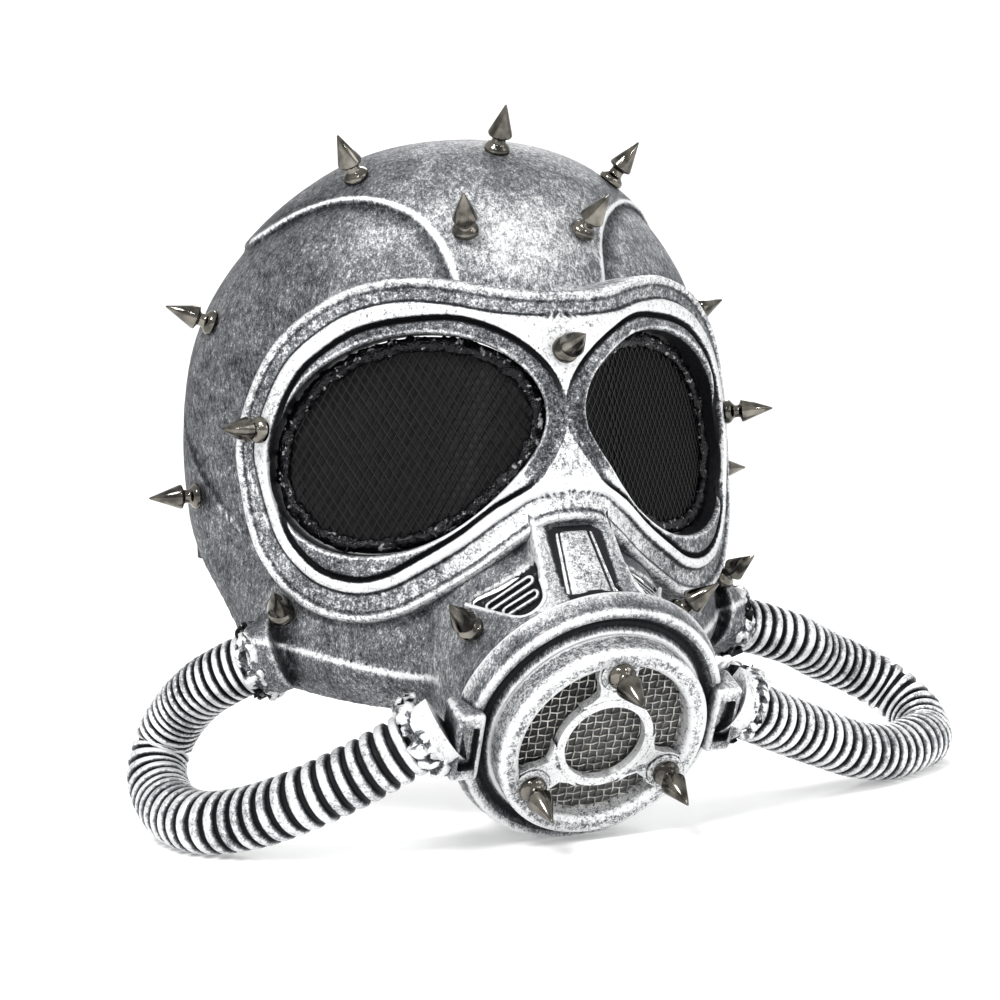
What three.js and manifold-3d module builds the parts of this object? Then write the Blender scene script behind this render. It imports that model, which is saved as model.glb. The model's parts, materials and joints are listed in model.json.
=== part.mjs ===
// Spiked gas mask style costume mask, in millimetres, +Z up, face towards -Y.
// While it is shaped, the midline is x = 0, the eye line is z = 0 and y = 0 is just in
// front of the rear rim. At the end the whole group is stood on z = 0.

import * as THREE from "three";
import * as BufferGeometryUtils from "three/addons/utils/BufferGeometryUtils.js";
import Module from "manifold-3d";

const wasm = await Module();
wasm.setup();

// Driving sizes of the shell
const shellHalfWidth = 108;
const domeHeight = 112;
const jawDrop = 112;
const faceDepth = 95;
const shellWall = 2.2;
const rimBack = 14;
const seatGap = 0.3;
const shellSides = 28;

// Raised forehead plate and jaw panel
const plateRise = 1.8;
const jawRise = 1.6;

// Goggle frame
const goggleAngle = THREE.MathUtils.degToRad(33.5);
const goggleHalfSpan = 121;
const goggleRise = 55;
const goggleFall = 64;
const bridgeDepth = 108.6;
const frameFront = 8;
const sweepStart = 70;
const sweepBack = 10;
const bridgeHalf = 24;
const bridgeBack = 9;
const archDrop = 36;
const frameWall = 2.8;
const frameReach = 70;
const edgeRound = 1.8;
const bandWidth = 9;
const bandLine = 1.2;
const ridgeWidth = 6;
const ridgeRise = 0.6;
const grooveWidth = 2;
const grooveDepth = 2.4;

// Eye openings
const eyeHalfWidth = 50;
const eyeHalfHeight = 37.5;
const eyeMiddle = 56.5;
const eyeLowered = 2.6;
const eyeSlant = 0.13;
const eyeDroop = 0.07;
const eyePinch = 0.07;
const eyeSides = 24;
const eyeMeshThickness = 1.4;
const eyeRoom = 1;

// Filter
const filterTilt = THREE.MathUtils.degToRad(29);
const filterForward = 128.4;
const filterDrop = 105.6;
const turnedSides = 30;
const frontRingRadius = 37.6;
const frontRingBore = 30.5;
const frontRingDepth = 9;
const frontRingRound = 2;
const flangeRadius = 46;
const flangeSkirt = 3;
const flangeDepth = 9;
const flangeLap = 4;
const channelWidth = 3.4;
const channelDepth = 2.6;
const rimWidth = 2.4;
const rimRound = 1;
const skirtEdge = 2;
const webSetBack = 1;
const webDepth = 3.2;
const webSides = 20;
const webRingRadius = 17.5;
const webRingWidth = 3;
const webNeckStep = 3;
const webNeckShare = 0.7;
const webPadRadius = 6.4;
const webPadReach = 28.3;
const webPadSides = 10;
const filterMeshThickness = 1.2;
const snoutRadius = 43;
const snoutLength = 60;
const snoutFlare = 5;
const snoutRoom = 6;

// Brackets at the sides of the filter
const bracketHeight = 26;
const bracketWidth = 10;
const bracketProud = 4;
const bracketWall = 2;
const bracketArm = 4.5;

// Hoses
const hoseDiameter = 22;
const hoseRib = 1.5;
const hoseRibPitch = 9;
const hoseSides = 8;
const hoseBore = 15.6;
const hoseBoreSteps = 20;
const socketWall = 2.6;
const socketSides = 10;
const socketBack = 6;
const socketFlare = 1.5;
const bendRoom = 0.9;
const cheekSocketLength = 13;
const filterSocketLength = 8;

// Spikes
const spikeLength = 18.5;
const spikeDiameter = 9.5;
const spikeSides = 7;
const seatRays = 42;

// Strap behind the head
const strapWidth = 30;
const strapThickness = 1.6;
const strapDrop = 26;
const strapSag = 14;
const strapSteps = 28;

// Reach of the cutting shapes: well past everything, and just past a face
const farOut = 400;
const past = 1;

// Finishes
const paintedShell = { color: 0x8f9194, roughness: 0.55, metalness: 0.35 };
const paintedFrame = { color: 0xb9babc, roughness: 0.5, metalness: 0.35 };
const blackMesh = { color: 0x17181a, roughness: 0.5, metalness: 0.3 };
const steelMesh = { color: 0x8b8a86, roughness: 0.35, metalness: 0.9 };
const paintedHose = { color: 0xa9aaab, roughness: 0.5, metalness: 0.3 };
const polishedSpike = { color: 0x8a8177, roughness: 0.18, metalness: 1.0 };
const elasticWeb = { color: 0x141414, roughness: 0.9, metalness: 0.0 };

// Solids from geometries and back
function solid(geometry) {
  const bare = geometry.clone();
  bare.deleteAttribute("normal");
  bare.deleteAttribute("uv");
  const merged = BufferGeometryUtils.mergeVertices(bare, 1e-4);
  return new wasm.Manifold(new wasm.Mesh({
    numProp: 3,
    vertProperties: new Float32Array(merged.attributes.position.array),
    triVerts: new Uint32Array(merged.index.array),
  }));
}

function geometryOf(shape) {
  const mesh = shape.getMesh();
  const geometry = new THREE.BufferGeometry();
  geometry.setAttribute("position", new THREE.BufferAttribute(new Float32Array(mesh.vertProperties), 3));
  geometry.setIndex(new THREE.BufferAttribute(new Uint32Array(mesh.triVerts), 1));
  const faceted = geometry.toNonIndexed();
  faceted.computeVertexNormals();
  return faceted;
}

const mask = new THREE.Group();

function addPiece(name, geometry, finish) {
  const mesh = new THREE.Mesh(geometry, new THREE.MeshStandardMaterial(finish));
  mesh.name = name;
  mask.add(mesh);
  return mesh;
}

// A closed skin through rings of equally many points, capped flat at both ends
function loft(rings) {
  const count = rings[0].length;
  const points = rings.flat();
  const faces = [];
  for (let ring = 0; ring + 1 < rings.length; ring += 1) {
    for (let i = 0; i < count; i += 1) {
      const next = (i + 1) % count;
      const a = ring * count + i;
      const b = ring * count + next;
      const c = (ring + 1) * count + next;
      const d = (ring + 1) * count + i;
      faces.push(a, b, c, a, c, d);
    }
  }
  for (const [ring, turn] of [[0, -1], [rings.length - 1, 1]]) {
    const middle = points.length;
    const centre = new THREE.Vector3();
    for (const point of rings[ring]) {
      centre.addScaledVector(point, 1 / count);
    }
    points.push(centre);
    for (let i = 0; i < count; i += 1) {
      const a = ring * count + i;
      const b = ring * count + (i + 1) % count;
      if (turn > 0) {
        faces.push(a, b, middle);
      } else {
        faces.push(b, a, middle);
      }
    }
  }
  const geometry = new THREE.BufferGeometry().setFromPoints(points);
  geometry.setIndex(faces);
  return geometry;
}

function mirrored(geometry) {
  const copy = geometry.clone();
  copy.scale(-1, 1, 1);
  const order = copy.index.array;
  for (let i = 0; i < order.length; i += 3) {
    [order[i], order[i + 1]] = [order[i + 1], order[i]];
  }
  return copy;
}

// A prism of a closed outline, from one height to another along the local z
function prism(outline, from, to) {
  const geometry = new THREE.ExtrudeGeometry(new THREE.Shape(outline), {
    depth: to - from,
    bevelEnabled: false,
    curveSegments: 1,
  });
  geometry.translate(0, 0, from);
  return geometry;
}

// The same outline moved inwards by a distance (outwards where it is negative)
function inset(outline, distance) {
  return outline.map((point, i) => {
    const before = outline[(i + outline.length - 1) % outline.length];
    const after = outline[(i + 1) % outline.length];
    const along = after.clone().sub(before).normalize();
    return new THREE.Vector2(point.x - along.y * distance, point.y + along.x * distance);
  });
}

// Head form: level rings from the chin to the crown.
// level is a share of domeHeight above the eye line and of jawDrop below it; width is a
// share of shellHalfWidth, front of faceDepth; power is 2 for an ellipse and less for a wedge.
const headRows = [
  { level: -1.0, width: 0.3, front: 0.56, power: 2.0 },
  { level: -0.93, width: 0.56, front: 0.8, power: 2.1 },
  { level: -0.8, width: 0.78, front: 0.93, power: 2.3 },
  { level: -0.66, width: 0.88, front: 0.95, power: 2.4 },
  { level: -0.5, width: 0.93, front: 0.9, power: 2.1 },
  { level: -0.34, width: 0.975, front: 0.93, power: 1.5 },
  { level: -0.17, width: 0.995, front: 0.93, power: 1.45 },
  { level: 0.0, width: 1.0, front: 0.94, power: 1.45 },
  { level: 0.18, width: 0.985, front: 0.95, power: 1.5 },
  { level: 0.34, width: 0.95, front: 0.94, power: 1.7 },
  { level: 0.48, width: 0.89, front: 0.905, power: 1.95 },
  { level: 0.62, width: 0.8, front: 0.83, power: 2.0 },
  { level: 0.75, width: 0.68, front: 0.755, power: 2.0 },
  { level: 0.85, width: 0.55, front: 0.67, power: 2.0 },
  { level: 0.93, width: 0.4, front: 0.55, power: 2.0 },
  { level: 0.98, width: 0.22, front: 0.39, power: 2.0 },
  { level: 1.0, width: 0.03, front: 0.24, power: 2.0 },
];
// Above half the dome's height the rings move forward, by this share of faceDepth at the crown
const crownSetForward = 0.2;
const crownSetLevel = 0.5;

function headForm(grow) {
  const rings = headRows.map((row) => {
    const reach = row.level < 0 ? jawDrop : domeHeight;
    const z = row.level * (reach + grow);
    const high = Math.max(0, row.level - crownSetLevel) / (1 - crownSetLevel);
    const forward = high * crownSetForward * faceDepth;
    const half = row.width * (shellHalfWidth + grow);
    const front = row.front * (faceDepth + grow) - forward;
    const ring = [];
    for (let i = 0; i < shellSides; i += 1) {
      const turn = (i / shellSides) * 2 * Math.PI;
      const cos = Math.cos(turn);
      const sin = Math.sin(turn);
      const power = sin < 0 ? 2 / row.power : 1;
      const depth = sin < 0 ? front : half;
      ring.push(new THREE.Vector3(
        half * Math.sign(cos) * Math.abs(cos) ** power,
        depth * Math.sign(sin) * Math.abs(sin) ** power - forward,
        z,
      ));
    }
    return ring;
  });
  return solid(loft(rings));
}

// Side outline that the shell is trimmed to: rear rim, rising jaw edge, open chin
const jawRear = { y: -30, z: -86 };
const jawFront = { y: -90, z: -101 };
const rimBend = { y: rimBack, z: -26 };

function trimPrism() {
  const outline = [
    new THREE.Vector2(rimBack, farOut),
    new THREE.Vector2(-farOut, farOut),
    new THREE.Vector2(-farOut, jawFront.z),
    new THREE.Vector2(jawFront.y, jawFront.z),
    new THREE.Vector2(jawRear.y, jawRear.z),
    new THREE.Vector2(rimBend.y, rimBend.z),
  ];
  const geometry = prism(outline, -farOut, farOut);
  // local x becomes y and local y becomes z
  geometry.applyMatrix4(new THREE.Matrix4().set(0, 0, 1, 0, 1, 0, 0, 0, 0, 1, 0, 0, 0, 0, 0, 1));
  return solid(geometry);
}

// A prism along Y of an outline drawn in the front view, x and z
function frontPrism(outline, from, to) {
  const geometry = prism(outline.map((point) => new THREE.Vector2(point.x, point.y)), from, to);
  geometry.applyMatrix4(new THREE.Matrix4().set(1, 0, 0, 0, 0, 0, -1, 0, 0, 1, 0, 0, 0, 0, 0, 1));
  return solid(geometry);
}

// Goggle outlines in the plane of one eye: across is measured from the midline along
// that plane, as a share of goggleHalfSpan, and up as a share of goggleRise or goggleFall.
const goggleRows = [
  { across: -0.4, up: 0.86 },
  { across: 0.0, up: 0.86 },
  { across: 0.16, up: 0.89 },
  { across: 0.31, up: 0.965 },
  { across: 0.46, up: 1.0 },
  { across: 0.61, up: 0.95 },
  { across: 0.74, up: 0.82 },
  { across: 0.86, up: 0.62 },
  { across: 0.95, up: 0.32 },
  { across: 1.0, up: 0.0 },
  { across: 0.99, up: -0.26 },
  { across: 0.955, up: -0.55 },
  { across: 0.88, up: -0.77 },
  { across: 0.77, up: -0.93 },
  { across: 0.63, up: -1.0 },
  { across: 0.5, up: -0.97 },
  { across: 0.38, up: -0.87 },
  { across: 0.25, up: -0.74 },
  { across: 0.12, up: -0.58 },
  { across: 0.0, up: -0.49 },
  { across: -0.4, up: -0.49 },
];

function goggleOutline() {
  return goggleRows.map((row) => new THREE.Vector2(
    row.across * goggleHalfSpan,
    row.up * (row.up < 0 ? goggleFall : goggleRise),
  )).reverse();
}

// Egg-shaped eye opening, round side outwards, its lower edge swung outwards
function eyeOutline(grow) {
  const outline = [];
  for (let i = 0; i < eyeSides; i += 1) {
    const turn = (i / eyeSides) * 2 * Math.PI;
    const across = (eyeHalfWidth + grow) * Math.cos(turn);
    const up = (eyeHalfHeight + grow) * Math.sin(turn);
    outline.push(new THREE.Vector2(
      eyeMiddle + across - eyeSlant * up,
      up * (1 + eyePinch * Math.cos(turn)) - eyeDroop * across - eyeLowered,
    ));
  }
  return outline;
}

// Local x runs outwards along the eye plane, local y up, local z out of the face
const eyeAcross = new THREE.Vector3(Math.cos(goggleAngle), Math.sin(goggleAngle), 0);
const eyeOut = new THREE.Vector3(Math.sin(goggleAngle), -Math.cos(goggleAngle), 0);
const eyePlane = new THREE.Matrix4()
  .makeBasis(eyeAcross, new THREE.Vector3(0, 0, 1), eyeOut)
  .setPosition(0, -bridgeDepth, 0);

function flatPrism(outline, from, to) {
  return solid(prism(outline, from, to));
}

// The outer end of the eye plane curves back round the temple, and the bridge of the nose
// is rounded off down to the arch
function setOnFace(shape) {
  const geometry = geometryOf(shape);
  const place = geometry.attributes.position;
  for (let i = 0; i < place.count; i += 1) {
    const swept = Math.max(0, place.getX(i) - sweepStart) / (goggleHalfSpan - sweepStart);
    const near = THREE.MathUtils.clamp(1 - place.getX(i) / bridgeHalf, 0, 1);
    const high = THREE.MathUtils.clamp(1 + place.getY(i) / archDrop, 0, 1);
    place.setZ(i, place.getZ(i) - sweepBack * swept * swept - bridgeBack * near * near * high);
  }
  return solid(geometry.applyMatrix4(eyePlane));
}

function rightHalf() {
  const box = new THREE.BoxGeometry(farOut, 2 * farOut, 2 * farOut);
  box.translate(farOut / 2, 0, 0);
  return solid(box);
}

function leftFromRight(shape) {
  const geometry = geometryOf(shape);
  geometry.deleteAttribute("normal");
  return solid(mirrored(BufferGeometryUtils.mergeVertices(geometry, 1e-4)));
}

function goggleFrame() {
  const outline = goggleOutline();
  const rear = -frameReach;
  const top = frameFront;
  const ridgeStart = inset(outline, bandWidth);
  const ridgeEnd = inset(outline, bandWidth + ridgeWidth);
  const rimStart = inset(outline, bandWidth + ridgeWidth + grooveWidth);
  const plateBack = top - grooveDepth - frameWall;
  let half = flatPrism(outline, rear, top - edgeRound);
  half = half.add(flatPrism(inset(outline, edgeRound), 0, top));
  half = half.subtract(flatPrism(inset(outline, bandWidth - bandLine), top - edgeRound, farOut));
  half = half.add(flatPrism(ridgeStart, 0, top + ridgeRise));
  half = half.subtract(flatPrism(ridgeEnd, top - grooveDepth, farOut));
  half = half.add(flatPrism(rimStart, 0, top - ridgeRise));
  const hollow = flatPrism(inset(outline, frameWall), rear - past, plateBack)
    .subtract(flatPrism(eyeOutline(frameWall), rear - 2 * past, farOut));
  half = half.subtract(hollow).subtract(flatPrism(eyeOutline(0), rear - 2 * past, farOut));
  half = setOnFace(half).intersect(rightHalf());
  return half.add(leftFromRight(half)).subtract(shellOutside(seatGap));
}

// Filter axis, pointing out of the face and down
const filterAxis = new THREE.Vector3(0, -Math.cos(filterTilt), -Math.sin(filterTilt));
const filterCentre = new THREE.Vector3(0, -filterForward, -filterDrop);
const filterUp = new THREE.Vector3(0, -Math.sin(filterTilt), Math.cos(filterTilt));
const filterPlane = new THREE.Matrix4()
  .makeBasis(new THREE.Vector3(1, 0, 0), filterUp, filterAxis)
  .setPosition(filterCentre);
const flangeFront = -frontRingDepth - seatGap;
const flangeBack = flangeFront - flangeDepth;
const snoutFront = flangeBack - seatGap;

// A turned ring about the filter axis; columns are radius and height along the axis
function turned(profile, sides) {
  const geometry = new THREE.LatheGeometry(profile.map(([r, h]) => new THREE.Vector2(r, h)), sides);
  // the lathe's own y becomes the filter axis
  geometry.rotateX(Math.PI / 2);
  return solid(geometry.applyMatrix4(filterPlane));
}

function disc(radius, from, to) {
  return turned([[0, from], [radius, from], [radius, to], [0, to]], turnedSides);
}

function ringProfile(inner, outer, from, to, round) {
  return [
    [inner, from],
    [outer, from],
    [outer, to - round],
    [outer - round, to],
    [inner + round, to],
    [inner, to - round],
    [inner, from],
  ];
}

function filterPrism(outline, from, to) {
  return solid(prism(outline, from, to).applyMatrix4(filterPlane));
}

function circleOutline(x, y, radius, sides) {
  const outline = [];
  for (let i = 0; i < sides; i += 1) {
    const turn = (i / sides) * 2 * Math.PI;
    outline.push(new THREE.Vector2(x + radius * Math.cos(turn), y + radius * Math.sin(turn)));
  }
  return outline;
}

// Three pads carry the web: one at the top, two at the lower left and right
const padTurns = [90, 210, 330].map((turn) => THREE.MathUtils.degToRad(turn));
const webFront = -webSetBack;
const webBack = webFront - webDepth;

function frontRing() {
  const profile = ringProfile(frontRingBore, frontRingRadius, -frontRingDepth, 0, frontRingRound);
  const ring = turned(profile, turnedSides);
  const hole = webRingRadius - webRingWidth;
  let web = filterPrism(circleOutline(0, 0, webRingRadius, webSides), webBack, webFront);
  for (const turn of padTurns) {
    const away = new THREE.Vector2(Math.cos(turn), Math.sin(turn));
    const side = new THREE.Vector2(-away.y, away.x);
    const corner = (reach, half) => away.clone().multiplyScalar(reach).addScaledVector(side, half);
    const neck = [
      corner(hole, -webRingRadius / 2),
      corner(webRingRadius + webNeckStep, -webPadRadius * webNeckShare),
      corner(webPadReach, -webPadRadius),
      corner(webPadReach, webPadRadius),
      corner(webRingRadius + webNeckStep, webPadRadius * webNeckShare),
      corner(hole, webRingRadius / 2),
    ];
    const middle = away.clone().multiplyScalar(webPadReach);
    web = web.add(filterPrism(neck, webBack, webFront));
    const pad = circleOutline(middle.x, middle.y, webPadRadius, webPadSides);
    web = web.add(filterPrism(pad, webBack, 0));
  }
  web = web.subtract(filterPrism(circleOutline(0, 0, hole, webSides), webBack - past, past));
  return ring.add(web.intersect(disc(frontRingRadius - past, -frontRingDepth, past)));
}

// Flange round the front ring: a channel, a bright rim and a skirt down to the snout
function rearFlange() {
  const inner = frontRingBore + flangeLap;
  const profile = [
    [inner, flangeBack],
    [flangeRadius + flangeSkirt, flangeBack],
    [flangeRadius + flangeSkirt, flangeBack + skirtEdge],
    [flangeRadius + rimRound, flangeFront - 2 * rimRound],
    [flangeRadius - rimRound, flangeFront],
    [flangeRadius - rimWidth, flangeFront],
    [frontRingRadius + channelWidth, flangeFront - channelDepth],
    [frontRingRadius, flangeFront],
    [inner, flangeFront],
    [inner, flangeBack],
  ];
  let flange = turned(profile, turnedSides);
  for (const side of ["left", "right"]) {
    const away = side === "left" ? -1 : 1;
    const middle = away * (flangeRadius + rimRound);
    const height = flangeDepth + bracketProud;
    const box = new THREE.BoxGeometry(bracketWidth, bracketHeight, height);
    box.translate(middle, 0, flangeBack + height / 2);
    const recess = new THREE.BoxGeometry(
      bracketWidth - 2 * bracketWall,
      bracketHeight - 2 * bracketArm,
      2 * bracketWall,
    );
    recess.translate(middle, 0, flangeBack + height);
    const bracket = solid(box.applyMatrix4(filterPlane))
      .subtract(solid(recess.applyMatrix4(filterPlane)));
    const ahead = disc(flangeRadius * 2, flangeBack, farOut / 4);
    const collar = hoseCollar(side, 1, true).intersect(ahead);
    const clear = disc(frontRingRadius + channelWidth, flangeFront - channelDepth, farOut / 4);
    flange = flange.add(bracket.add(collar).subtract(clear));
    flange = flange.subtract(hoseCollar(side, 1, false));
  }
  return flange.subtract(disc(inner, flangeBack - past, farOut / 4));
}

function filterMesh() {
  const back = webBack - seatGap - filterMeshThickness;
  return disc(frontRingBore - seatGap, back, back + filterMeshThickness);
}

// Hose routes, chosen by hand along the way each hose lies, from the cheek to the filter,
// where each one ends beside the flange
const hoseEnd = flangeRadius + 9.5;
const hoseLead = hoseEnd + 9;
const hoseRoutes = {
  left: [
    [-91, -41, -76], [-99, -36, -79], [-106, -30, -83], [-112, -22, -88], [-119, -8, -99],
    [-123, -1, -109], [-127, -6, -119], [-127, -19, -127], [-125, -36, -130], [-119, -55, -130],
    [-107, -72, -126.5], [-94, -87, -120], [-77, -99, -111], [-hoseLead, -106.5, -103.5],
    [-hoseEnd, -111, -98],
  ],
  right: [
    [91, -41, -76], [101, -38, -79], [113, -36, -82.5], [129, -33, -88], [147, -25.5, -96.5],
    [164, -22, -104], [178, -25, -113], [184, -36, -122.5], [179, -51, -130], [164, -65, -130],
    [145, -76, -130], [123, -86, -125.5], [104, -93, -118.5], [82, -101, -109.5],
    [hoseLead, -108, -102], [hoseEnd, -111, -98],
  ],
};

// The hoses lie on the surface that the lower edge of the flange stands on
const flangeLow = -filterDrop - flangeFront * Math.sin(filterTilt) - flangeRadius * Math.cos(filterTilt);
const hoseFloor = flangeLow + hoseDiameter / 2;

function hoseCurve(side, pastEnds = false) {
  const points = hoseRoutes[side].map(([x, y, z]) => new THREE.Vector3(x, y, Math.max(z, hoseFloor)));
  if (pastEnds) {
    const last = points.length - 1;
    const before = points[0].clone().sub(points[1]).setLength(past).add(points[0]);
    const after = points[last].clone().sub(points[last - 1]).setLength(past).add(points[last]);
    points.unshift(before);
    points.push(after);
  }
  return new THREE.CatmullRomCurve3(points, false, "centripetal");
}

function hoseRings(curve, radii) {
  const frames = curve.computeFrenetFrames(radii.length - 1, false);
  return radii.map((radius, step) => {
    const centre = curve.getPointAt(step / (radii.length - 1));
    const ring = [];
    for (let i = 0; i < hoseSides; i += 1) {
      const turn = (i / hoseSides) * 2 * Math.PI;
      ring.push(centre.clone()
        .addScaledVector(frames.normals[step], radius * Math.cos(turn))
        .addScaledVector(frames.binormals[step], radius * Math.sin(turn)));
    }
    return ring;
  });
}

// Ribbed tube: its radius alternates between the crest and the valley of each rib
function hose(side) {
  const curve = hoseCurve(side);
  const ribs = Math.round(curve.getLength() / hoseRibPitch);
  const radii = [];
  for (let step = 0; step <= 2 * ribs; step += 1) {
    radii.push(hoseDiameter / 2 - (step % 2) * hoseRib);
  }
  const bore = new Array(hoseBoreSteps + 1).fill(hoseBore / 2);
  const lengthened = hoseCurve(side, true);
  return solid(loft(hoseRings(curve, radii))).subtract(solid(loft(hoseRings(lengthened, bore))));
}

// Collar that holds a hose end; at is 0 for the cheek end and 1 for the filter end
function hoseCollar(side, at, outer) {
  const curve = hoseCurve(side);
  const length = at === 0 ? cheekSocketLength : filterSocketLength;
  const share = length / curve.getLength();
  const start = at === 0 ? curve.getPointAt(0) : curve.getPointAt(1);
  const end = at === 0 ? curve.getPointAt(share) : curve.getPointAt(1 - share);
  const along = end.clone().sub(start).normalize();
  const radius = hoseDiameter / 2 + seatGap + bendRoom + (outer ? socketWall : 0);
  const from = outer ? -socketBack : -seatGap;
  const flare = outer ? socketFlare : 0;
  const geometry = new THREE.CylinderGeometry(radius - flare, radius + flare, length, socketSides);
  geometry.translate(0, length / 2 + from, 0);
  geometry.applyQuaternion(new THREE.Quaternion().setFromUnitVectors(new THREE.Vector3(0, 1, 0), along));
  geometry.translate(start.x, start.y, start.z);
  return solid(geometry);
}

// Forehead plate between the two temple seams, front view; shares of shellHalfWidth, domeHeight
const seamRows = [
  { across: 0.25, up: 0.36 },
  { across: 0.26, up: 0.47 },
  { across: 0.29, up: 0.62 },
  { across: 0.35, up: 0.7 },
  { across: 0.43, up: 0.755 },
  { across: 0.52, up: 0.775 },
  { across: 0.6, up: 0.765 },
  { across: 0.68, up: 0.735 },
  { across: 0.8, up: 0.66 },
];

function foreheadPlate(grow) {
  const right = seamRows.map((row) => new THREE.Vector2(row.across * shellHalfWidth, row.up * domeHeight));
  const left = right.map((point) => new THREE.Vector2(-point.x, point.y)).reverse();
  const outline = [...right, new THREE.Vector2(farOut, farOut), new THREE.Vector2(-farOut, farOut), ...left];
  return frontPrism(inset(outline, -grow), -farOut, farOut).intersect(headForm(plateRise + grow));
}

// Jaw panel below the cheek ridge, front view; shares of shellHalfWidth and jawDrop
const jawRows = [
  { across: 3.0, down: 0.6 },
  { across: 0.84, down: 0.655 },
  { across: 0.5, down: 0.76 },
];

function jawPanel(grow) {
  const right = jawRows.map((row) => new THREE.Vector2(row.across * shellHalfWidth, -row.down * jawDrop));
  const left = right.map((point) => new THREE.Vector2(-point.x, point.y)).reverse();
  const low = [new THREE.Vector2(-farOut, -farOut), new THREE.Vector2(farOut, -farOut)];
  const outline = [...low, ...right, ...left];
  return frontPrism(inset(outline, -grow), -farOut, farOut).intersect(headForm(jawRise + grow));
}

// Snout: a cone from the filter flange back into the face, and its hollow
function snout(inward) {
  const front = snoutRadius - inward;
  const rear = front + snoutFlare;
  const lip = inward > 0 ? past : 0;
  const profile = [
    [0, snoutFront - snoutLength - lip],
    [rear, snoutFront - snoutLength - lip],
    [front, snoutFront + lip],
    [0, snoutFront + lip],
  ];
  return turned(profile, turnedSides);
}

// Nose block from the goggle arch to the flange; columns are half width, y and z of its face
const noseTop = { half: 12.5, y: -108, z: -32 };
const noseFoot = { half: 19.5, y: -128, z: -63 };
const noseDepth = 34;

// How far the block runs past those two levels, and its window, as shares of its height
const noseAbove = 0.15;
const noseBelow = 0.1;
const windowTop = 0.16;
const windowFoot = 0.84;
const windowHalf = 0.48;
const windowDepth = 3;

function noseWedge(topShare, footShare, halfShare, forward, depth) {
  const mix = (share, key) => noseTop[key] + (noseFoot[key] - noseTop[key]) * share;
  const rings = [topShare, footShare].map((share) => {
    const half = mix(share, "half") * halfShare;
    const y = mix(share, "y") - forward;
    const z = mix(share, "z");
    return [
      new THREE.Vector3(-half, y, z),
      new THREE.Vector3(half, y, z),
      new THREE.Vector3(half, y + depth, z),
      new THREE.Vector3(-half, y + depth, z),
    ];
  });
  return solid(loft(rings.reverse()));
}

function noseBlock(grow) {
  const share = grow / (noseTop.z - noseFoot.z);
  const block = noseWedge(
    -noseAbove - share,
    1 + noseBelow + share,
    1 + grow / noseTop.half,
    grow,
    noseDepth,
  );
  if (grow > 0) {
    return block;
  }
  return block.subtract(noseWedge(windowTop, windowFoot, windowHalf, past, windowDepth + past));
}

function shellOutside(grow) {
  return headForm(grow)
    .add(foreheadPlate(grow))
    .add(jawPanel(grow))
    .add(snout(-grow))
    .add(noseBlock(grow));
}

function faceShell() {
  const inside = headForm(-shellWall).add(snout(shellWall));
  let shell = shellOutside(0).subtract(inside).intersect(trimPrism().add(snout(0)));
  const clearance = setOnFace(flatPrism(eyeOutline(frameWall + eyeRoom), -frameReach, farOut / 4));
  shell = shell.subtract(clearance).subtract(leftFromRight(clearance));
  shell = shell.subtract(disc(flangeRadius + snoutRoom, snoutFront, farOut / 4));
  for (const side of ["left", "right"]) {
    const collar = hoseCollar(side, 0, true).subtract(headForm(-shellWall));
    shell = shell.add(collar).subtract(hoseCollar(side, 0, false));
  }
  return shell;
}

// Spikes: where each one sits and which way it points; the mask carries a mirrored pair
// of every row whose x isn't 0
const spikeRows = [
  { name: "crown", seat: [0, -56, 104], way: [0, -0.62, 0.79], on: "shell" },
  { name: "brow", seat: [0, -106, 26], way: [0, -0.975, 0.22], on: "frame" },
  { name: "top", seat: [50.5, -44.7, 95], way: [0.49, -0.45, 0.75], on: "shell" },
  { name: "forehead", seat: [20.5, -74, 67], way: [0.28, -0.73, 0.62], on: "shell" },
  { name: "upper_temple", seat: [98.5, -12, 46], way: [0.93, 0.02, 0.36], on: "shell" },
  { name: "goggle_side", seat: [90, -50, 5], way: [0.85, -0.5, 0.03], on: "frame" },
  { name: "lower_temple", seat: [107, -9, -17.5], way: [1.0, 0.05, 0.0], on: "shell" },
  {
    name: "cheek_hose",
    seat: [0.727 * goggleHalfSpan, -50, -0.9375 * goggleFall],
    way: [0.35, -0.8, 0.48],
    on: "shell",
  },
  { name: "cheek_filter", seat: [38, -108, -66], way: [0.6, -0.6, 0.53], on: "shell" },
];
const padNames = ["filter_top", "filter_low_left", "filter_low_right"];

// Spike profile; out is a share of spikeDiameter and up of spikeLength
const spikeProfile = [
  { out: 0, up: 0 },
  { out: 0.5, up: 0 },
  { out: 0.5, up: 0.07 },
  { out: 0.26, up: 0.2 },
  { out: 0.26, up: 0.31 },
  { out: 0.47, up: 0.37 },
  { out: 0, up: 1 },
];

function spikeGeometry(seat, way) {
  const profile = spikeProfile.map((row) => new THREE.Vector2(row.out * spikeDiameter, row.up * spikeLength));
  const geometry = new THREE.LatheGeometry(profile, spikeSides);
  geometry.applyQuaternion(new THREE.Quaternion().setFromUnitVectors(new THREE.Vector3(0, 1, 0), way));
  geometry.translate(seat.x, seat.y, seat.z);
  return geometryOf(solid(geometry));
}

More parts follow.
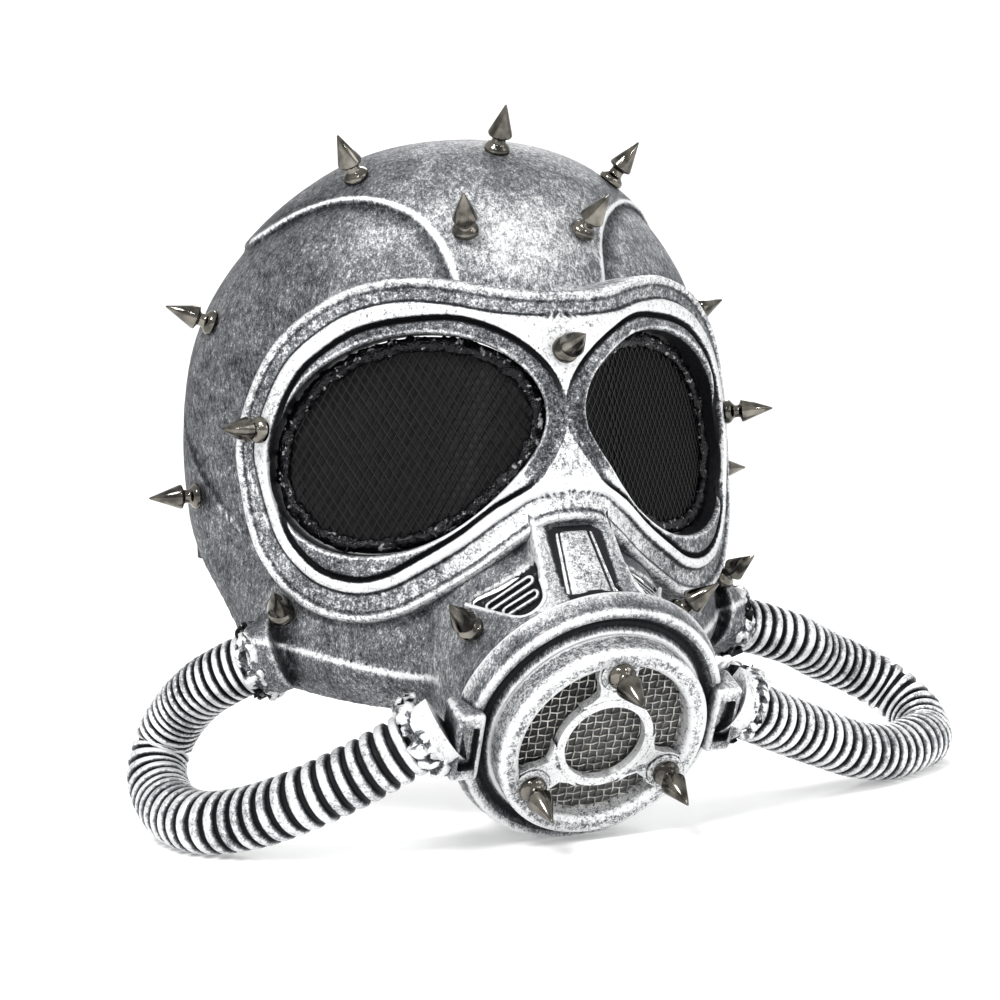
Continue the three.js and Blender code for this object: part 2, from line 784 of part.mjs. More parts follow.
// The foot of a spike comes down its axis until its rim is seatGap above what carries it
function seated(carrier, target, way) {
  const across = new THREE.Vector3(way.y, -way.x, way.z + 1).cross(way).normalize();
  const around = way.clone().cross(across);
  const ray = new THREE.Raycaster();
  let nearest = Infinity;
  for (let i = 0; i < seatRays; i += 1) {
    const turn = (i / seatRays) * 4 * Math.PI;
    const out = i % 2 === 0 ? spikeDiameter / 2 : spikeDiameter / 4;
    const start = target.clone()
      .addScaledVector(way, farOut)
      .addScaledVector(across, out * Math.cos(turn))
      .addScaledVector(around, out * Math.sin(turn));
    ray.set(start, way.clone().negate());
    const hit = ray.intersectObject(carrier)[0];
    if (hit) {
      nearest = Math.min(nearest, hit.distance);
    }
  }
  return target.clone().addScaledVector(way, farOut - nearest + seatGap);
}

// Elastic strap: a slack band from rim to rim round the back, half of it in plan view as
// shares of shellHalfWidth, the other half mirrored
const strapHalf = [
  { across: 0.93, back: 0 },
  { across: 0.94, back: 0.12 },
  { across: 0.89, back: 0.37 },
  { across: 0.69, back: 0.61 },
  { across: 0.36, back: 0.78 },
  { across: 0, back: 0.83 },
];
function strap() {
  const right = strapHalf.map((row) => new THREE.Vector3(
    row.across * shellHalfWidth,
    row.back * shellHalfWidth,
    -strapDrop,
  ));
  const left = right.slice(0, -1).map((point) => new THREE.Vector3(-point.x, point.y, point.z));
  const curve = new THREE.CatmullRomCurve3([...left, ...right.reverse()], false, "centripetal");
  const rings = [];
  for (let step = 0; step <= strapSteps; step += 1) {
    const share = step / strapSteps;
    const middle = curve.getPointAt(share);
    middle.z -= strapSag * Math.sin(Math.PI * share) ** 2;
    const along = curve.getTangentAt(share);
    const out = new THREE.Vector3(along.y, -along.x, 0).setLength(strapThickness / 2);
    rings.push([[-1, -1], [-1, 1], [1, 1], [1, -1]].map(([side, up]) => (
      middle.clone().addScaledVector(out, side).add(new THREE.Vector3(0, 0, (up * strapWidth) / 2))
    )));
  }
  return solid(loft(rings));
}

const eyeMesh = setOnFace(flatPrism(eyeOutline(-seatGap), -eyeMeshThickness, 0));
const carriers = {
  shell: addPiece("face_shell", geometryOf(faceShell()), paintedShell),
  frame: addPiece("goggle_frame", geometryOf(goggleFrame()), paintedFrame),
};
addPiece("filter_flange", geometryOf(rearFlange()), paintedShell);
const ringMesh = addPiece("filter_front_ring", geometryOf(frontRing()), paintedFrame);
addPiece("filter_mesh", geometryOf(filterMesh()), steelMesh);
addPiece("eye_mesh_right", geometryOf(eyeMesh), blackMesh);
addPiece("eye_mesh_left", geometryOf(leftFromRight(eyeMesh)), blackMesh);
for (const side of ["left", "right"]) {
  addPiece(`hose_${side}`, geometryOf(hose(side)), paintedHose);
}
addPiece("strap", geometryOf(strap()), elasticWeb);
for (const row of spikeRows) {
  const sides = row.seat[0] === 0 ? [["", 1]] : [["_left", -1], ["_right", 1]];
  for (const [suffix, mirror] of sides) {
    const target = new THREE.Vector3(row.seat[0] * mirror, row.seat[1], row.seat[2]);
    const way = new THREE.Vector3(row.way[0] * mirror, row.way[1], row.way[2]).normalize();
    const seat = seated(carriers[row.on], target, way);
    addPiece(`spike_${row.name}${suffix}`, spikeGeometry(seat, way), polishedSpike);
  }
}
padTurns.forEach((turn, i) => {
  const away = new THREE.Vector3(Math.cos(turn), Math.sin(turn), 0).multiplyScalar(webPadReach);
  const seat = seated(ringMesh, away.applyMatrix4(filterPlane), filterAxis);
  addPiece(`spike_${padNames[i]}`, spikeGeometry(seat, filterAxis), polishedSpike);
});

// The mask stands on its filter and hoses, its middle over the origin
const box = new THREE.Box3().setFromObject(mask);
mask.position.set(-(box.min.x + box.max.x) / 2, -(box.min.y + box.max.y) / 2, -box.min.z);

export default mask;
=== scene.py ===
# %% [markdown]
# # A spiked gas mask for the carnival
# The mask stands on its filter and on the bends of its two hoses. Its skin is black vinyl that a
# painter brushed with nearly dry silver paint, so the paint stays on the edges and the grain.
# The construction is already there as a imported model. This lesson dresses it piece by piece.

# %% Load the construction
import json
import math

import bpy
import numpy as np
from mathutils import Matrix, Vector, noise

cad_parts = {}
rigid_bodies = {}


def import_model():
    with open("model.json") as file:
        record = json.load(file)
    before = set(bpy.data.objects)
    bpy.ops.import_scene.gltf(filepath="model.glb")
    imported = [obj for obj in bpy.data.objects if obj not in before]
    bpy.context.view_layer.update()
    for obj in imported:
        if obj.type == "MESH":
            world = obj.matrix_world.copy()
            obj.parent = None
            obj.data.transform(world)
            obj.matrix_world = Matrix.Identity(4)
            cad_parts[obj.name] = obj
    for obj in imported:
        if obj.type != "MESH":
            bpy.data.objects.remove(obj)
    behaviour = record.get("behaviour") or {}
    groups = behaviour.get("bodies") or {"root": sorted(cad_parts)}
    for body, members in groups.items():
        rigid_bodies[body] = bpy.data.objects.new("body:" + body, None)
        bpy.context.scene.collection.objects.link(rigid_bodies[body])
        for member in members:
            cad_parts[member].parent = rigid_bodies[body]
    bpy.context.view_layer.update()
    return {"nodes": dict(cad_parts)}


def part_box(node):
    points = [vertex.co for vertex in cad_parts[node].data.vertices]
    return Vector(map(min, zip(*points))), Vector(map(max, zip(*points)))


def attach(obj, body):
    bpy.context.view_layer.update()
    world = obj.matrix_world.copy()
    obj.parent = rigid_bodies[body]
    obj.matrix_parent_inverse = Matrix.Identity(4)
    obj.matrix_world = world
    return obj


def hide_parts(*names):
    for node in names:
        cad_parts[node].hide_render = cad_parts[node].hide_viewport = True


for leftover in list(bpy.data.objects):
    bpy.data.objects.remove(leftover)
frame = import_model()

# %% [markdown]
# The pieces are shaped in millimetres round the face: the midline is x = 0, the eye line is z = 0
# and the face looks along -Y. Three sizes of the shell's own box say where that point lies in the
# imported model, so everything that is built here lands on the construction by itself.

# %% Where the face lies
MM = 0.001
RIM_Y = 14.0
DOME_TOP = 113.8
shell_low, shell_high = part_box("face_shell")
FACE_ORIGIN = Vector((
    (shell_low.x + shell_high.x) / 2,
    shell_high.y - RIM_Y * MM,
    shell_high.z - DOME_TOP * MM,
))
TO_FRAME = Matrix.Translation(FACE_ORIGIN) @ Matrix.Scale(MM, 4)
print("eye line is", round(FACE_ORIGIN.z / MM, 1), "mm above the floor")

# %% [markdown]
# A few habits make the work short. Everything is deselected before a new piece is picked, and a
# modifier is applied as soon as it is set, so each piece is a plain mesh at all times.

# %% Helpers for picking, modifiers and cuts
def only(*objects):
    if bpy.context.object and bpy.context.object.mode != "OBJECT":
        bpy.ops.object.mode_set(mode="OBJECT")
    bpy.ops.object.select_all(action="DESELECT")
    for piece in objects:
        piece.select_set(True)
    bpy.context.view_layer.objects.active = objects[-1]
    return objects[-1]


def named(name):
    piece = bpy.context.object
    piece.name = name
    piece.data.name = name
    return piece


def apply_modifier(piece, kind, **settings):
    only(piece)
    modifier = piece.modifiers.new(kind.lower(), kind)
    for key, value in settings.items():
        setattr(modifier, key, value)
    bpy.ops.object.modifier_apply(modifier=modifier.name)
    return piece


def carve(piece, tool, operation="DIFFERENCE"):
    """Cuts with a closed tool, which is used up."""
    apply_modifier(piece, "BOOLEAN", object=tool, operation=operation, solver="MANIFOLD")
    bpy.data.objects.remove(tool)
    return piece


def in_edit_mode(piece, *steps):
    """Runs mesh operators on a piece. Each step is an operator and its settings."""
    only(piece)
    bpy.ops.object.mode_set(mode="EDIT")
    for operator, settings in steps:
        operator(**settings)
    bpy.ops.object.mode_set(mode="OBJECT")
    return piece


SELECT_ALL = (bpy.ops.mesh.select_all, {"action": "SELECT"})
FULL_TURN = {"angle": 2 * math.pi, "center": (0, 0, 0), "axis": (0, 0, 1)}


def copy_of(piece, name):
    twin = piece.copy()
    twin.data = piece.data.copy()
    twin.name = name
    bpy.context.scene.collection.objects.link(twin)
    return twin


def face_out(piece, reach=0.0005):
    """Welds points that lie together and turns all normals outwards."""
    return in_edit_mode(
        piece, SELECT_ALL,
        (bpy.ops.mesh.remove_doubles, {"threshold": reach}),
        (bpy.ops.mesh.normals_make_consistent, {"inside": False}),
    )


def mirror_copy(piece, name):
    twin = copy_of(piece, name)
    twin.data.transform(Matrix.Scale(-1, 4, Vector((1, 0, 0))))
    return face_out(twin)


def points_of(piece):
    flat = np.empty(len(piece.data.vertices) * 3)
    piece.data.vertices.foreach_get("co", flat)
    return flat.reshape(-1, 3)


def set_points(piece, points):
    piece.data.vertices.foreach_set("co", np.asarray(points, float).ravel())
    piece.data.update()
    return piece


def soften(piece, voxel, rounds, factor=0.5):
    apply_modifier(piece, "REMESH", mode="VOXEL", voxel_size=voxel, use_smooth_shade=True)
    apply_modifier(piece, "SMOOTH", factor=factor, iterations=rounds)
    return piece


def thin_to(piece, most):
    count = sum(len(face.vertices) - 2 for face in piece.data.polygons)
    if count > most:
        apply_modifier(piece, "DECIMATE", ratio=most / count)
    return piece


def smooth_by_angle(piece, degrees):
    only(piece)
    bpy.ops.object.shade_smooth_by_angle(angle=math.radians(degrees))
    return piece


def wire_along(name, centres, radius, sides=6):
    """A closed thin tube through many points: a flat grid rolled up along them."""
    steps = len(centres) - 1
    bpy.ops.mesh.primitive_grid_add(x_subdivisions=steps, y_subdivisions=sides, size=1)
    piece = named(name)
    grid = points_of(piece)
    at = np.rint((grid[:, 0] + 0.5) * steps).astype(int)
    turn = (grid[:, 1] + 0.5) * 2 * math.pi
    tangents = np.gradient(centres, axis=0)
    tangents /= np.linalg.norm(tangents, axis=1)[:, None]
    across = np.cross(tangents, (0, 0, 1.0))
    across /= np.linalg.norm(across, axis=1)[:, None]
    up = np.cross(across, tangents)
    set_points(piece, centres[at] + radius * (
        across[at] * np.cos(turn)[:, None] + up[at] * np.sin(turn)[:, None]
    ))
    return in_edit_mode(
        piece, SELECT_ALL,
        (bpy.ops.mesh.remove_doubles, {"threshold": 0.0005}),
        (bpy.ops.mesh.select_all, {"action": "DESELECT"}),
        (bpy.ops.mesh.select_non_manifold, {}),
        (bpy.ops.mesh.edge_face_add, {}),
        SELECT_ALL,
        (bpy.ops.mesh.normals_make_consistent, {"inside": False}),
    )


def joined(pieces, name):
    only(*pieces)
    bpy.ops.object.join()
    return named(name)


def lumpy(piece, size, height, seed=0.0):
    """Pushes each point along its normal by a cloud of lumps of the given size."""
    offset = Vector((seed, 2 * seed, 3 * seed))
    for vertex in piece.data.vertices:
        push = noise.fractal(vertex.co / size + offset, 1.0, 2.0, 3)
        vertex.co += vertex.normal * push * height
    piece.data.update()
    return piece


def settle(piece, slot, *nodes, material=None, place=TO_FRAME):
    piece.data.transform(place)
    piece.data.update()
    if material:
        piece.data.materials.clear()
        piece.data.materials.append(material)
    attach(piece, "root")
    if nodes:
        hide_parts(*nodes)
    print(piece.name, len(piece.data.polygons), "faces")
    return piece


# %% [markdown]
# ## Camera, light and floor
# The camera stands about 66 cm in front of the mask and a little to its right, just above the
# table, which is where the picture of the real mask was taken from. A long lens keeps the
# face in true proportion.

# %% Camera
CAMERA_AT = Vector((-242.8, -659.5, -9.4))
CAMERA_RIGHT = Vector((0.929, -0.3669, -0.0475))
CAMERA_UP = Vector((0.0525, 0.0038, 0.9986))
FOCAL_LENGTH = 63.5

camera_data = bpy.data.cameras.new("camera")
camera_data.lens = FOCAL_LENGTH
camera_data.sensor_width = 36
camera = bpy.data.objects.new("camera", camera_data)
bpy.context.scene.collection.objects.link(camera)
backward = CAMERA_RIGHT.cross(CAMERA_UP).normalized()
upward = backward.cross(CAMERA_RIGHT).normalized()
turn = Matrix((CAMERA_RIGHT.normalized(), upward, backward)).transposed()
camera.matrix_world = Matrix.Translation(TO_FRAME @ CAMERA_AT) @ turn.to_4x4()
bpy.context.scene.camera = camera
print("camera height", round(camera.location.z, 3), "m")

# %% [markdown]
# The picture has a white ground and even light, with one soft key from the upper left. The same
# comes from a pale sky, a large key lamp, a weaker fill from the right and a rim lamp behind.

# %% Light and floor
FLOOR_SIZE = 6.0


def lamp(name, place, size, power):
    data = bpy.data.lights.new(name, "AREA")
    data.shape = "DISK"
    data.size = size
    data.energy = power
    light = bpy.data.objects.new(name, data)
    bpy.context.scene.collection.objects.link(light)
    light.location = place
    light.rotation_euler = (Vector((0, 0, 0.13)) - Vector(place)).to_track_quat("-Z", "Y").to_euler()


# place and size in metres, power in watts; the two small lamps make the glints on wet glue and metal
LAMPS = [
    ("key", (-0.9, -0.9, 1.3), 0.45, 17),
    ("fill", (1.1, -1.0, 0.7), 0.8, 3.5),
    ("rim", (0.6, 1.0, 1.2), 0.8, 9),
    ("left glint", (-0.55, -1.3, 0.95), 0.07, 1.6),
    ("right glint", (0.5, -1.3, 0.6), 0.07, 1.0),
]
for row in LAMPS:
    lamp(*row)

world = bpy.data.worlds.new("pale sky")
bpy.context.scene.world = world
world.use_nodes = True
world.node_tree.nodes["Background"].inputs["Color"].default_value = (1, 1, 1, 1)
SKY_SEEN = 1.0
SKY_LIGHT = 0.72
sky = world.node_tree
seen = sky.nodes.new("ShaderNodeLightPath").outputs["Is Camera Ray"]
strength = sky.nodes.new("ShaderNodeMapRange")
strength.inputs["To Min"].default_value = SKY_LIGHT
strength.inputs["To Max"].default_value = SKY_SEEN
sky.links.new(seen, strength.inputs["Value"])
sky.links.new(strength.outputs[0], sky.nodes["Background"].inputs["Strength"])
bpy.context.scene.view_settings.view_transform = "Standard"
bpy.context.scene.view_settings.look = "Medium High Contrast"

bpy.ops.mesh.primitive_plane_add(size=FLOOR_SIZE)
floor = named("floor")
floor_paint = bpy.data.materials.new("pale floor")
floor_paint.use_nodes = True
floor.data.materials.append(floor_paint)
floor_shader = floor_paint.node_tree.nodes["Principled BSDF"]
floor_shader.inputs["Base Color"].default_value = (0.93, 0.93, 0.93, 1)
floor_shader.inputs["Roughness"].default_value = 0.6
floor_shader.inputs["Emission Color"].default_value = (1, 1, 1, 1)
floor_shader.inputs["Emission Strength"].default_value = 0.2

# %% [markdown]
# ## The paint
# Dry brushing starts from black. A brush with almost no paint on it is dragged over the relief,
# so silver stays on ridges and on the grain, and the hollows stay dark. In nodes that is a mix
# of black and silver. Its factor adds up a coarse cloud (how hard the brush was pressed), a
# fine speckle (the grain) and the pointiness of the surface (its ridges and grooves). An ambient
# occlusion term then takes silver away in recesses and under overhangs, which is painted shade.

# %% A small kit for node materials
class Nodes:
    def __init__(self, name):
        self.material = bpy.data.materials.new(name)
        self.material.use_nodes = True
        self.tree = self.material.node_tree
        self.shader = self.tree.nodes["Principled BSDF"]
        self.coordinates = self.node("ShaderNodeTexCoord").outputs["Object"]

    def node(self, kind, **settings):
        made = self.tree.nodes.new(kind)
        for key, value in settings.items():
            setattr(made, key, value)
        return made

    def put(self, socket, value):
        if isinstance(value, bpy.types.NodeSocket):
            self.tree.links.new(value, socket)
        elif isinstance(value, tuple) and len(value) == 3 and socket.type == "RGBA":
            socket.default_value = (*value, 1)
        else:
            socket.default_value = value

    def set(self, name, value):
        self.put(self.shader.inputs[name], value)

    def math(self, operation, first, second=0.0, clamp=False):
        made = self.node("ShaderNodeMath", operation=operation, use_clamp=clamp)
        self.put(made.inputs[0], first)
        self.put(made.inputs[1], second)
        return made.outputs[0]

    def noise(self, scale, detail=4.0, roughness=0.6, stretch=(1, 1, 1)):
        mapping = self.node("ShaderNodeMapping")
        self.put(mapping.inputs["Vector"], self.coordinates)
        mapping.inputs["Scale"].default_value = stretch
        made = self.node("ShaderNodeTexNoise")
        self.put(made.inputs["Vector"], mapping.outputs[0])
        made.inputs["Scale"].default_value = scale
        made.inputs["Detail"].default_value = detail
        made.inputs["Roughness"].default_value = roughness
        return made.outputs["Fac"]

    def range(self, value, low, high, to_low=0.0, to_high=1.0):
        made = self.node("ShaderNodeMapRange", interpolation_type="SMOOTHSTEP")
        self.put(made.inputs["Value"], value)
        made.inputs["From Min"].default_value = low
        made.inputs["From Max"].default_value = high
        made.inputs["To Min"].default_value = to_low
        made.inputs["To Max"].default_value = to_high
        return made.outputs["Result"]

    def mix(self, factor, first, second):
        made = self.node("ShaderNodeMix", data_type="RGBA")
        self.put(made.inputs["Factor"], factor)
        self.put(made.inputs["A"], first)
        self.put(made.inputs["B"], second)
        return made.outputs["Result"]

    def bump(self, height, strength, distance):
        made = self.node("ShaderNodeBump")
        self.put(made.inputs["Height"], height)
        made.inputs["Strength"].default_value = strength
        made.inputs["Distance"].default_value = distance
        self.set("Normal", made.outputs["Normal"])


# %% Dry-brushed vinyl
BLACK_VINYL = (0.012, 0.012, 0.014)
DULL_SILVER = (0.14, 0.145, 0.155)
BRIGHT_SILVER = (0.76, 0.765, 0.77)


def dry_brushed(name, cover, speckle, ridge, stroke=(1, 1, 1), shine=0.45):
    """cover is how much silver lies on the flats, speckle how broken it is, ridge how bright
    the edges are. A piece may carry a silver attribute that adds to the cover from place to place."""
    paint = Nodes(name)
    pressed = paint.noise(26, 3, 0.5)
    cloud = paint.noise(120, 5, 0.7)
    grain = paint.noise(520, 5, 0.75, stretch=stroke)
    fine = paint.noise(1500, 3, 0.75, stretch=stroke)
    local = paint.node("ShaderNodeAttribute", attribute_name="silver").outputs["Fac"]
    ridges = paint.node("ShaderNodeNewGeometry").outputs["Pointiness"]
    edge = paint.range(ridges, 0.51, 0.57)
    groove = paint.range(ridges, 0.42, 0.49, 1.0, 0.0)
    # painted shade: ambient occlusion takes silver away in recesses and under overhangs, where the surface is
    # hidden from light
    occlusion_shade = paint.node("ShaderNodeAmbientOcclusion", samples=6, only_local=True)
    occlusion_shade.inputs["Distance"].default_value = 0.012
    shade = paint.range(occlusion_shade.outputs["AO"], 0.25, 0.85, 0.5, 0.0)
    amount = paint.math("MULTIPLY", paint.math("SUBTRACT", pressed, 0.5), 0.5)
    amount = paint.math("ADD", amount, paint.math("MULTIPLY", paint.math("SUBTRACT", cloud, 0.5), 0.7))
    speck = paint.math("ADD", paint.math("SUBTRACT", grain, 0.5), paint.math("SUBTRACT", fine, 0.5))
    amount = paint.math("ADD", amount, paint.math("MULTIPLY", speck, speckle))
    amount = paint.math("ADD", amount, paint.math("ADD", cover, local))
    amount = paint.math("ADD", amount, paint.math("MULTIPLY", edge, ridge))
    amount = paint.math("SUBTRACT", amount, paint.math("MULTIPLY", groove, 0.7))
    amount = paint.math("SUBTRACT", amount, shade, clamp=True)
    thin = paint.mix(paint.range(amount, 0.05, 0.5), BLACK_VINYL, DULL_SILVER)
    colour = paint.mix(paint.range(amount, 0.42, 0.95), thin, BRIGHT_SILVER)
    paint.set("Base Color", colour)
    paint.set("Metallic", paint.range(amount, 0.2, 0.8, 0.0, 0.5))
    paint.set("Specular IOR Level", 0.25)
    paint.set("Roughness", paint.range(grain, 0.3, 0.7, shine + 0.12, shine - 0.08))
    relief = paint.math("ADD", paint.math("MULTIPLY", grain, 0.8), paint.math("MULTIPLY", cloud, 0.8))
    paint.bump(relief, 0.8, 0.0008)
    return paint.material


shell_paint = dry_brushed("dry brushed shell", 0.41, 1.3, 0.5, stroke=(1.6, 1.6, 0.8))
frame_paint = dry_brushed("dry brushed frame", 0.61, 1.7, 0.35, shine=0.4)
glue_paint = dry_brushed("silver brushed glue", 0.34, 1.6, 0.9, shine=0.3)


def silver_attribute(piece, values):
    layer = piece.data.attributes.new("silver", "FLOAT", "POINT")
    layer.data.foreach_set("value", np.asarray(values, np.float32))
    return piece


# %% [markdown]
# Nickel plated spikes are nearly mirrors with a warm grey tint. Fine turning marks run round them.

# %% Metals, mesh, glue and elastic
def plated(name):
    metal = Nodes(name)
    smear = metal.noise(160, 3, 0.5)
    scratch = metal.noise(900, 4, 0.7, stretch=(1, 1, 6))
    metal.set("Base Color", metal.mix(metal.range(smear, 0.3, 0.7), (0.07, 0.067, 0.06), (0.24, 0.226, 0.2)))
    metal.set("Metallic", 1.0)
    metal.set("Roughness", metal.range(smear, 0.3, 0.7, 0.08, 0.16))
    metal.bump(scratch, 0.05, 0.0002)
    return metal.material


def wire(name, colour, roughness, metallic):
    metal = Nodes(name)
    dirt = metal.noise(240, 4, 0.6)
    dark = tuple(0.35 * c for c in colour)
    metal.set("Base Color", metal.mix(metal.range(dirt, 0.35, 0.65), dark, colour))
    metal.set("Metallic", metallic)
    metal.set("Roughness", metal.range(dirt, 0.3, 0.7, roughness, roughness + 0.2))
    return metal.material


spike_metal = plated("polished gunmetal")
steel_wire = wire("steel wire", (0.62, 0.61, 0.58), 0.3, 0.9)
black_wire = wire("black wire", (0.006, 0.006, 0.007), 0.3, 0.3)


def wet_black(name):
    """Hot glue and unpainted vinyl: black with a wet shine."""
    glue = Nodes(name)
    lumps = glue.noise(420, 3, 0.6)
    # painted highlights: pale flecks in the black stand for the glints on wet glue
    painted_glints = glue.range(glue.noise(330, 3, 0.6), 0.6, 0.66)
    glue.set("Base Color", glue.mix(painted_glints, (0.004, 0.004, 0.006), (0.3, 0.3, 0.31)))
    glue.set("Specular IOR Level", 0.35)
    glue.set("Roughness", glue.range(lumps, 0.4, 0.7, 0.05, 0.22))
    glue.bump(lumps, 0.9, 0.0016)
    return glue.material


# a dark sheet of painted shade, put behind the eye meshes where the dim inside would show through
def shade_sheet_material(name):
    shade_sheet = Nodes(name)
    dust = shade_sheet.noise(300, 4, 0.6)
    shade_sheet.set("Base Color", shade_sheet.mix(shade_sheet.range(dust, 0.3, 0.7), (0.014, 0.014, 0.015), (0.024, 0.024, 0.025)))
    shade_sheet.set("Roughness", 0.7)
    shade_sheet.set("Specular IOR Level", 0.2)
    return shade_sheet.material


def painted_light_sheet_material(name):
    """A sheet behind the wire cloth, painted with light and shade. Its silver attribute says how much light falls
    on it.
    """
    shade_sheet = Nodes(name)
    dust = shade_sheet.noise(260, 4, 0.6)
    lit = shade_sheet.node("ShaderNodeAttribute", attribute_name="silver").outputs["Fac"]
    shade = shade_sheet.math("ADD", lit, shade_sheet.math("MULTIPLY", shade_sheet.math("SUBTRACT", dust, 0.5), 0.3), clamp=True)
    shade_sheet.set("Base Color", shade_sheet.mix(shade, (0.012, 0.012, 0.012), (0.3, 0.3, 0.3)))
    shade_sheet.set("Roughness", 0.8)
    shade_sheet.set("Specular IOR Level", 0.2)
    return shade_sheet.material


wet_glue = wet_black("wet black glue")
painted_light_sheet = painted_light_sheet_material("grey gauze")
eye_shade_sheet = shade_sheet_material("dark film")
print("finishes", sorted(m.name for m in bpy.data.materials))

# %% [markdown]
# ## The face shell
# The real shell is one moulding: a head form with a raised forehead plate, a jaw panel, a nose
# block and a snout. It could be sculpted, but a mould maker works with sections, and so does
# this lesson: a round ball is pulled onto a table of level sections.

# %% Sections of the head form
# level is a share of the height above or below the eye line, width and front are shares of the
# half width and of the depth of the face, power is 2 for an ellipse and less for a wedge
HALF_WIDTH = 108.0
DOME_HEIGHT = 112.0
JAW_DROP = 112.0
FACE_DEPTH = 95.0
CROWN_FORWARD = 0.2
HEAD_ROWS = np.array([
    # level, width, front, power
    (-1.0, 0.3, 0.56, 2.0),
    (-0.93, 0.56, 0.8, 2.1),
    (-0.8, 0.78, 0.93, 2.3),
    (-0.66, 0.88, 0.95, 2.4),
    (-0.5, 0.93, 0.9, 2.1),
    (-0.34, 0.975, 0.93, 1.5),
    (-0.17, 0.995, 0.93, 1.45),
    (0.0, 1.0, 0.94, 1.45),
    (0.18, 0.985, 0.95, 1.5),
    (0.34, 0.95, 0.94, 1.7),
    (0.48, 0.89, 0.905, 1.95),
    (0.62, 0.8, 0.83, 2.0),
    (0.75, 0.68, 0.755, 2.0),
    (0.85, 0.55, 0.67, 2.0),
    (0.93, 0.4, 0.55, 2.0),
    (0.98, 0.22, 0.39, 2.0),
    (1.0, 0.0, 0.24, 2.0),
])


def smooth_row(level):
    """The section at a level, on a smooth curve through the rows of the table."""
    levels = HEAD_ROWS[:, 0]
    i = int(np.clip(np.searchsorted(levels, level) - 1, 0, len(levels) - 2))
    low, high = HEAD_ROWS[i], HEAD_ROWS[i + 1]
    before, after = HEAD_ROWS[max(i - 1, 0)], HEAD_ROWS[min(i + 2, len(levels) - 1)]
    span = high[0] - low[0]
    share = (level - low[0]) / span
    start = (high - before) / max(high[0] - before[0], 1e-6) * span
    end = (after - low) / max(after[0] - low[0], 1e-6) * span
    if i == len(levels) - 2:
        return low + (high - low) * np.array([share, math.sqrt(share), share, share])[[0, 0, 2, 3]]
    h00, h10 = 2 * share**3 - 3 * share**2 + 1, share**3 - 2 * share**2 + share
    h01, h11 = -2 * share**3 + 3 * share**2, share**3 - share**2
    return h00 * low + h10 * start + h01 * high + h11 * end


def head_form(name, grow, sides=128, rings=96):
    bpy.ops.mesh.primitive_uv_sphere_add(segments=sides, ring_count=rings, radius=1)
    form = named(name)
    points = points_of(form)
    for point in points:
        level = float(np.clip(point[2], -1, 1))
        _, width, front, power = smooth_row(level)
        turn = math.atan2(point[1], point[0])
        reach = (JAW_DROP if level < 0 else DOME_HEIGHT) + grow
        forward = max(0.0, level - 0.5) * 2 * CROWN_FORWARD * FACE_DEPTH
        half = width * (HALF_WIDTH + grow)
        if abs(level) > 0.99999:
            half = 0.0
        depth = front * (FACE_DEPTH + grow) - forward if point[1] < 0 else half
        bend = 2 / power if point[1] < 0 else 1.0
        cos, sin = math.cos(turn), math.sin(turn)
        if half == 0.0:
            depth = 0.0
        point[0] = half * math.copysign(abs(cos) ** bend, cos)
        point[1] = depth * math.copysign(abs(sin) ** bend, sin) - forward
        point[2] = level * reach
    return face_out(set_points(form, points))


# %% [markdown]
# Plates, windows and panels are flat outlines. Each outline starts as a circle whose points are
# moved onto the curve, and is then extruded, which is how a shape is cut from sheet.

# %% Outlines
FAR = 300.0


def curve_through(corners, steps=8, closed=True):
    """Points on a smooth curve through the corners."""
    corners = [np.array(c, float) for c in corners]
    count = len(corners)
    made = []
    for i in range(count if closed else count - 1):
        if closed:
            a, b, c, d = (corners[(i + k - 1) % count] for k in range(4))
        else:
            a, b, c, d = (corners[min(max(i + k - 1, 0), count - 1)] for k in range(4))
        for step in range(steps):
            t = step / steps
            made.append(0.5 * (
                2 * b + (c - a) * t + (2 * a - 5 * b + 4 * c - d) * t**2 + (3 * b - a - 3 * c + d) * t**3
            ))
    if not closed:
        made.append(corners[-1])
    return made


def cut_sheet(name, outline, low, high):
    """A flat outline, given in x and y, extruded from low to high along z."""
    bpy.ops.mesh.primitive_circle_add(vertices=len(outline), radius=1, fill_type="NGON")
    sheet = named(name)
    set_points(sheet, [(p[0], p[1], low) for p in outline])
    up = {"value": (0, 0, high - low)}
    in_edit_mode(sheet, SELECT_ALL, (bpy.ops.mesh.extrude_region_move, {"TRANSFORM_OT_translate": up}))
    return face_out(sheet)


# local z of a sheet that is seen from the front runs towards the viewer
FRONT = Matrix(((1, 0, 0, 0), (0, 0, -1, 0), (0, 1, 0, 0), (0, 0, 0, 1)))
# local x and y of a sheet that is seen from the side are y and z
SIDE = Matrix(((0, 0, 1, 0), (1, 0, 0, 0), (0, 1, 0, 0), (0, 0, 0, 1)))


def turned_to(piece, matrix):
    piece.data.transform(matrix)
    piece.data.update()
    return piece


# %% [markdown]
# ### The filter axis
# The filter hangs 29 degrees below the level line of sight, so its rings, the snout behind them
# and the mesh are all turned round one slanted axis.

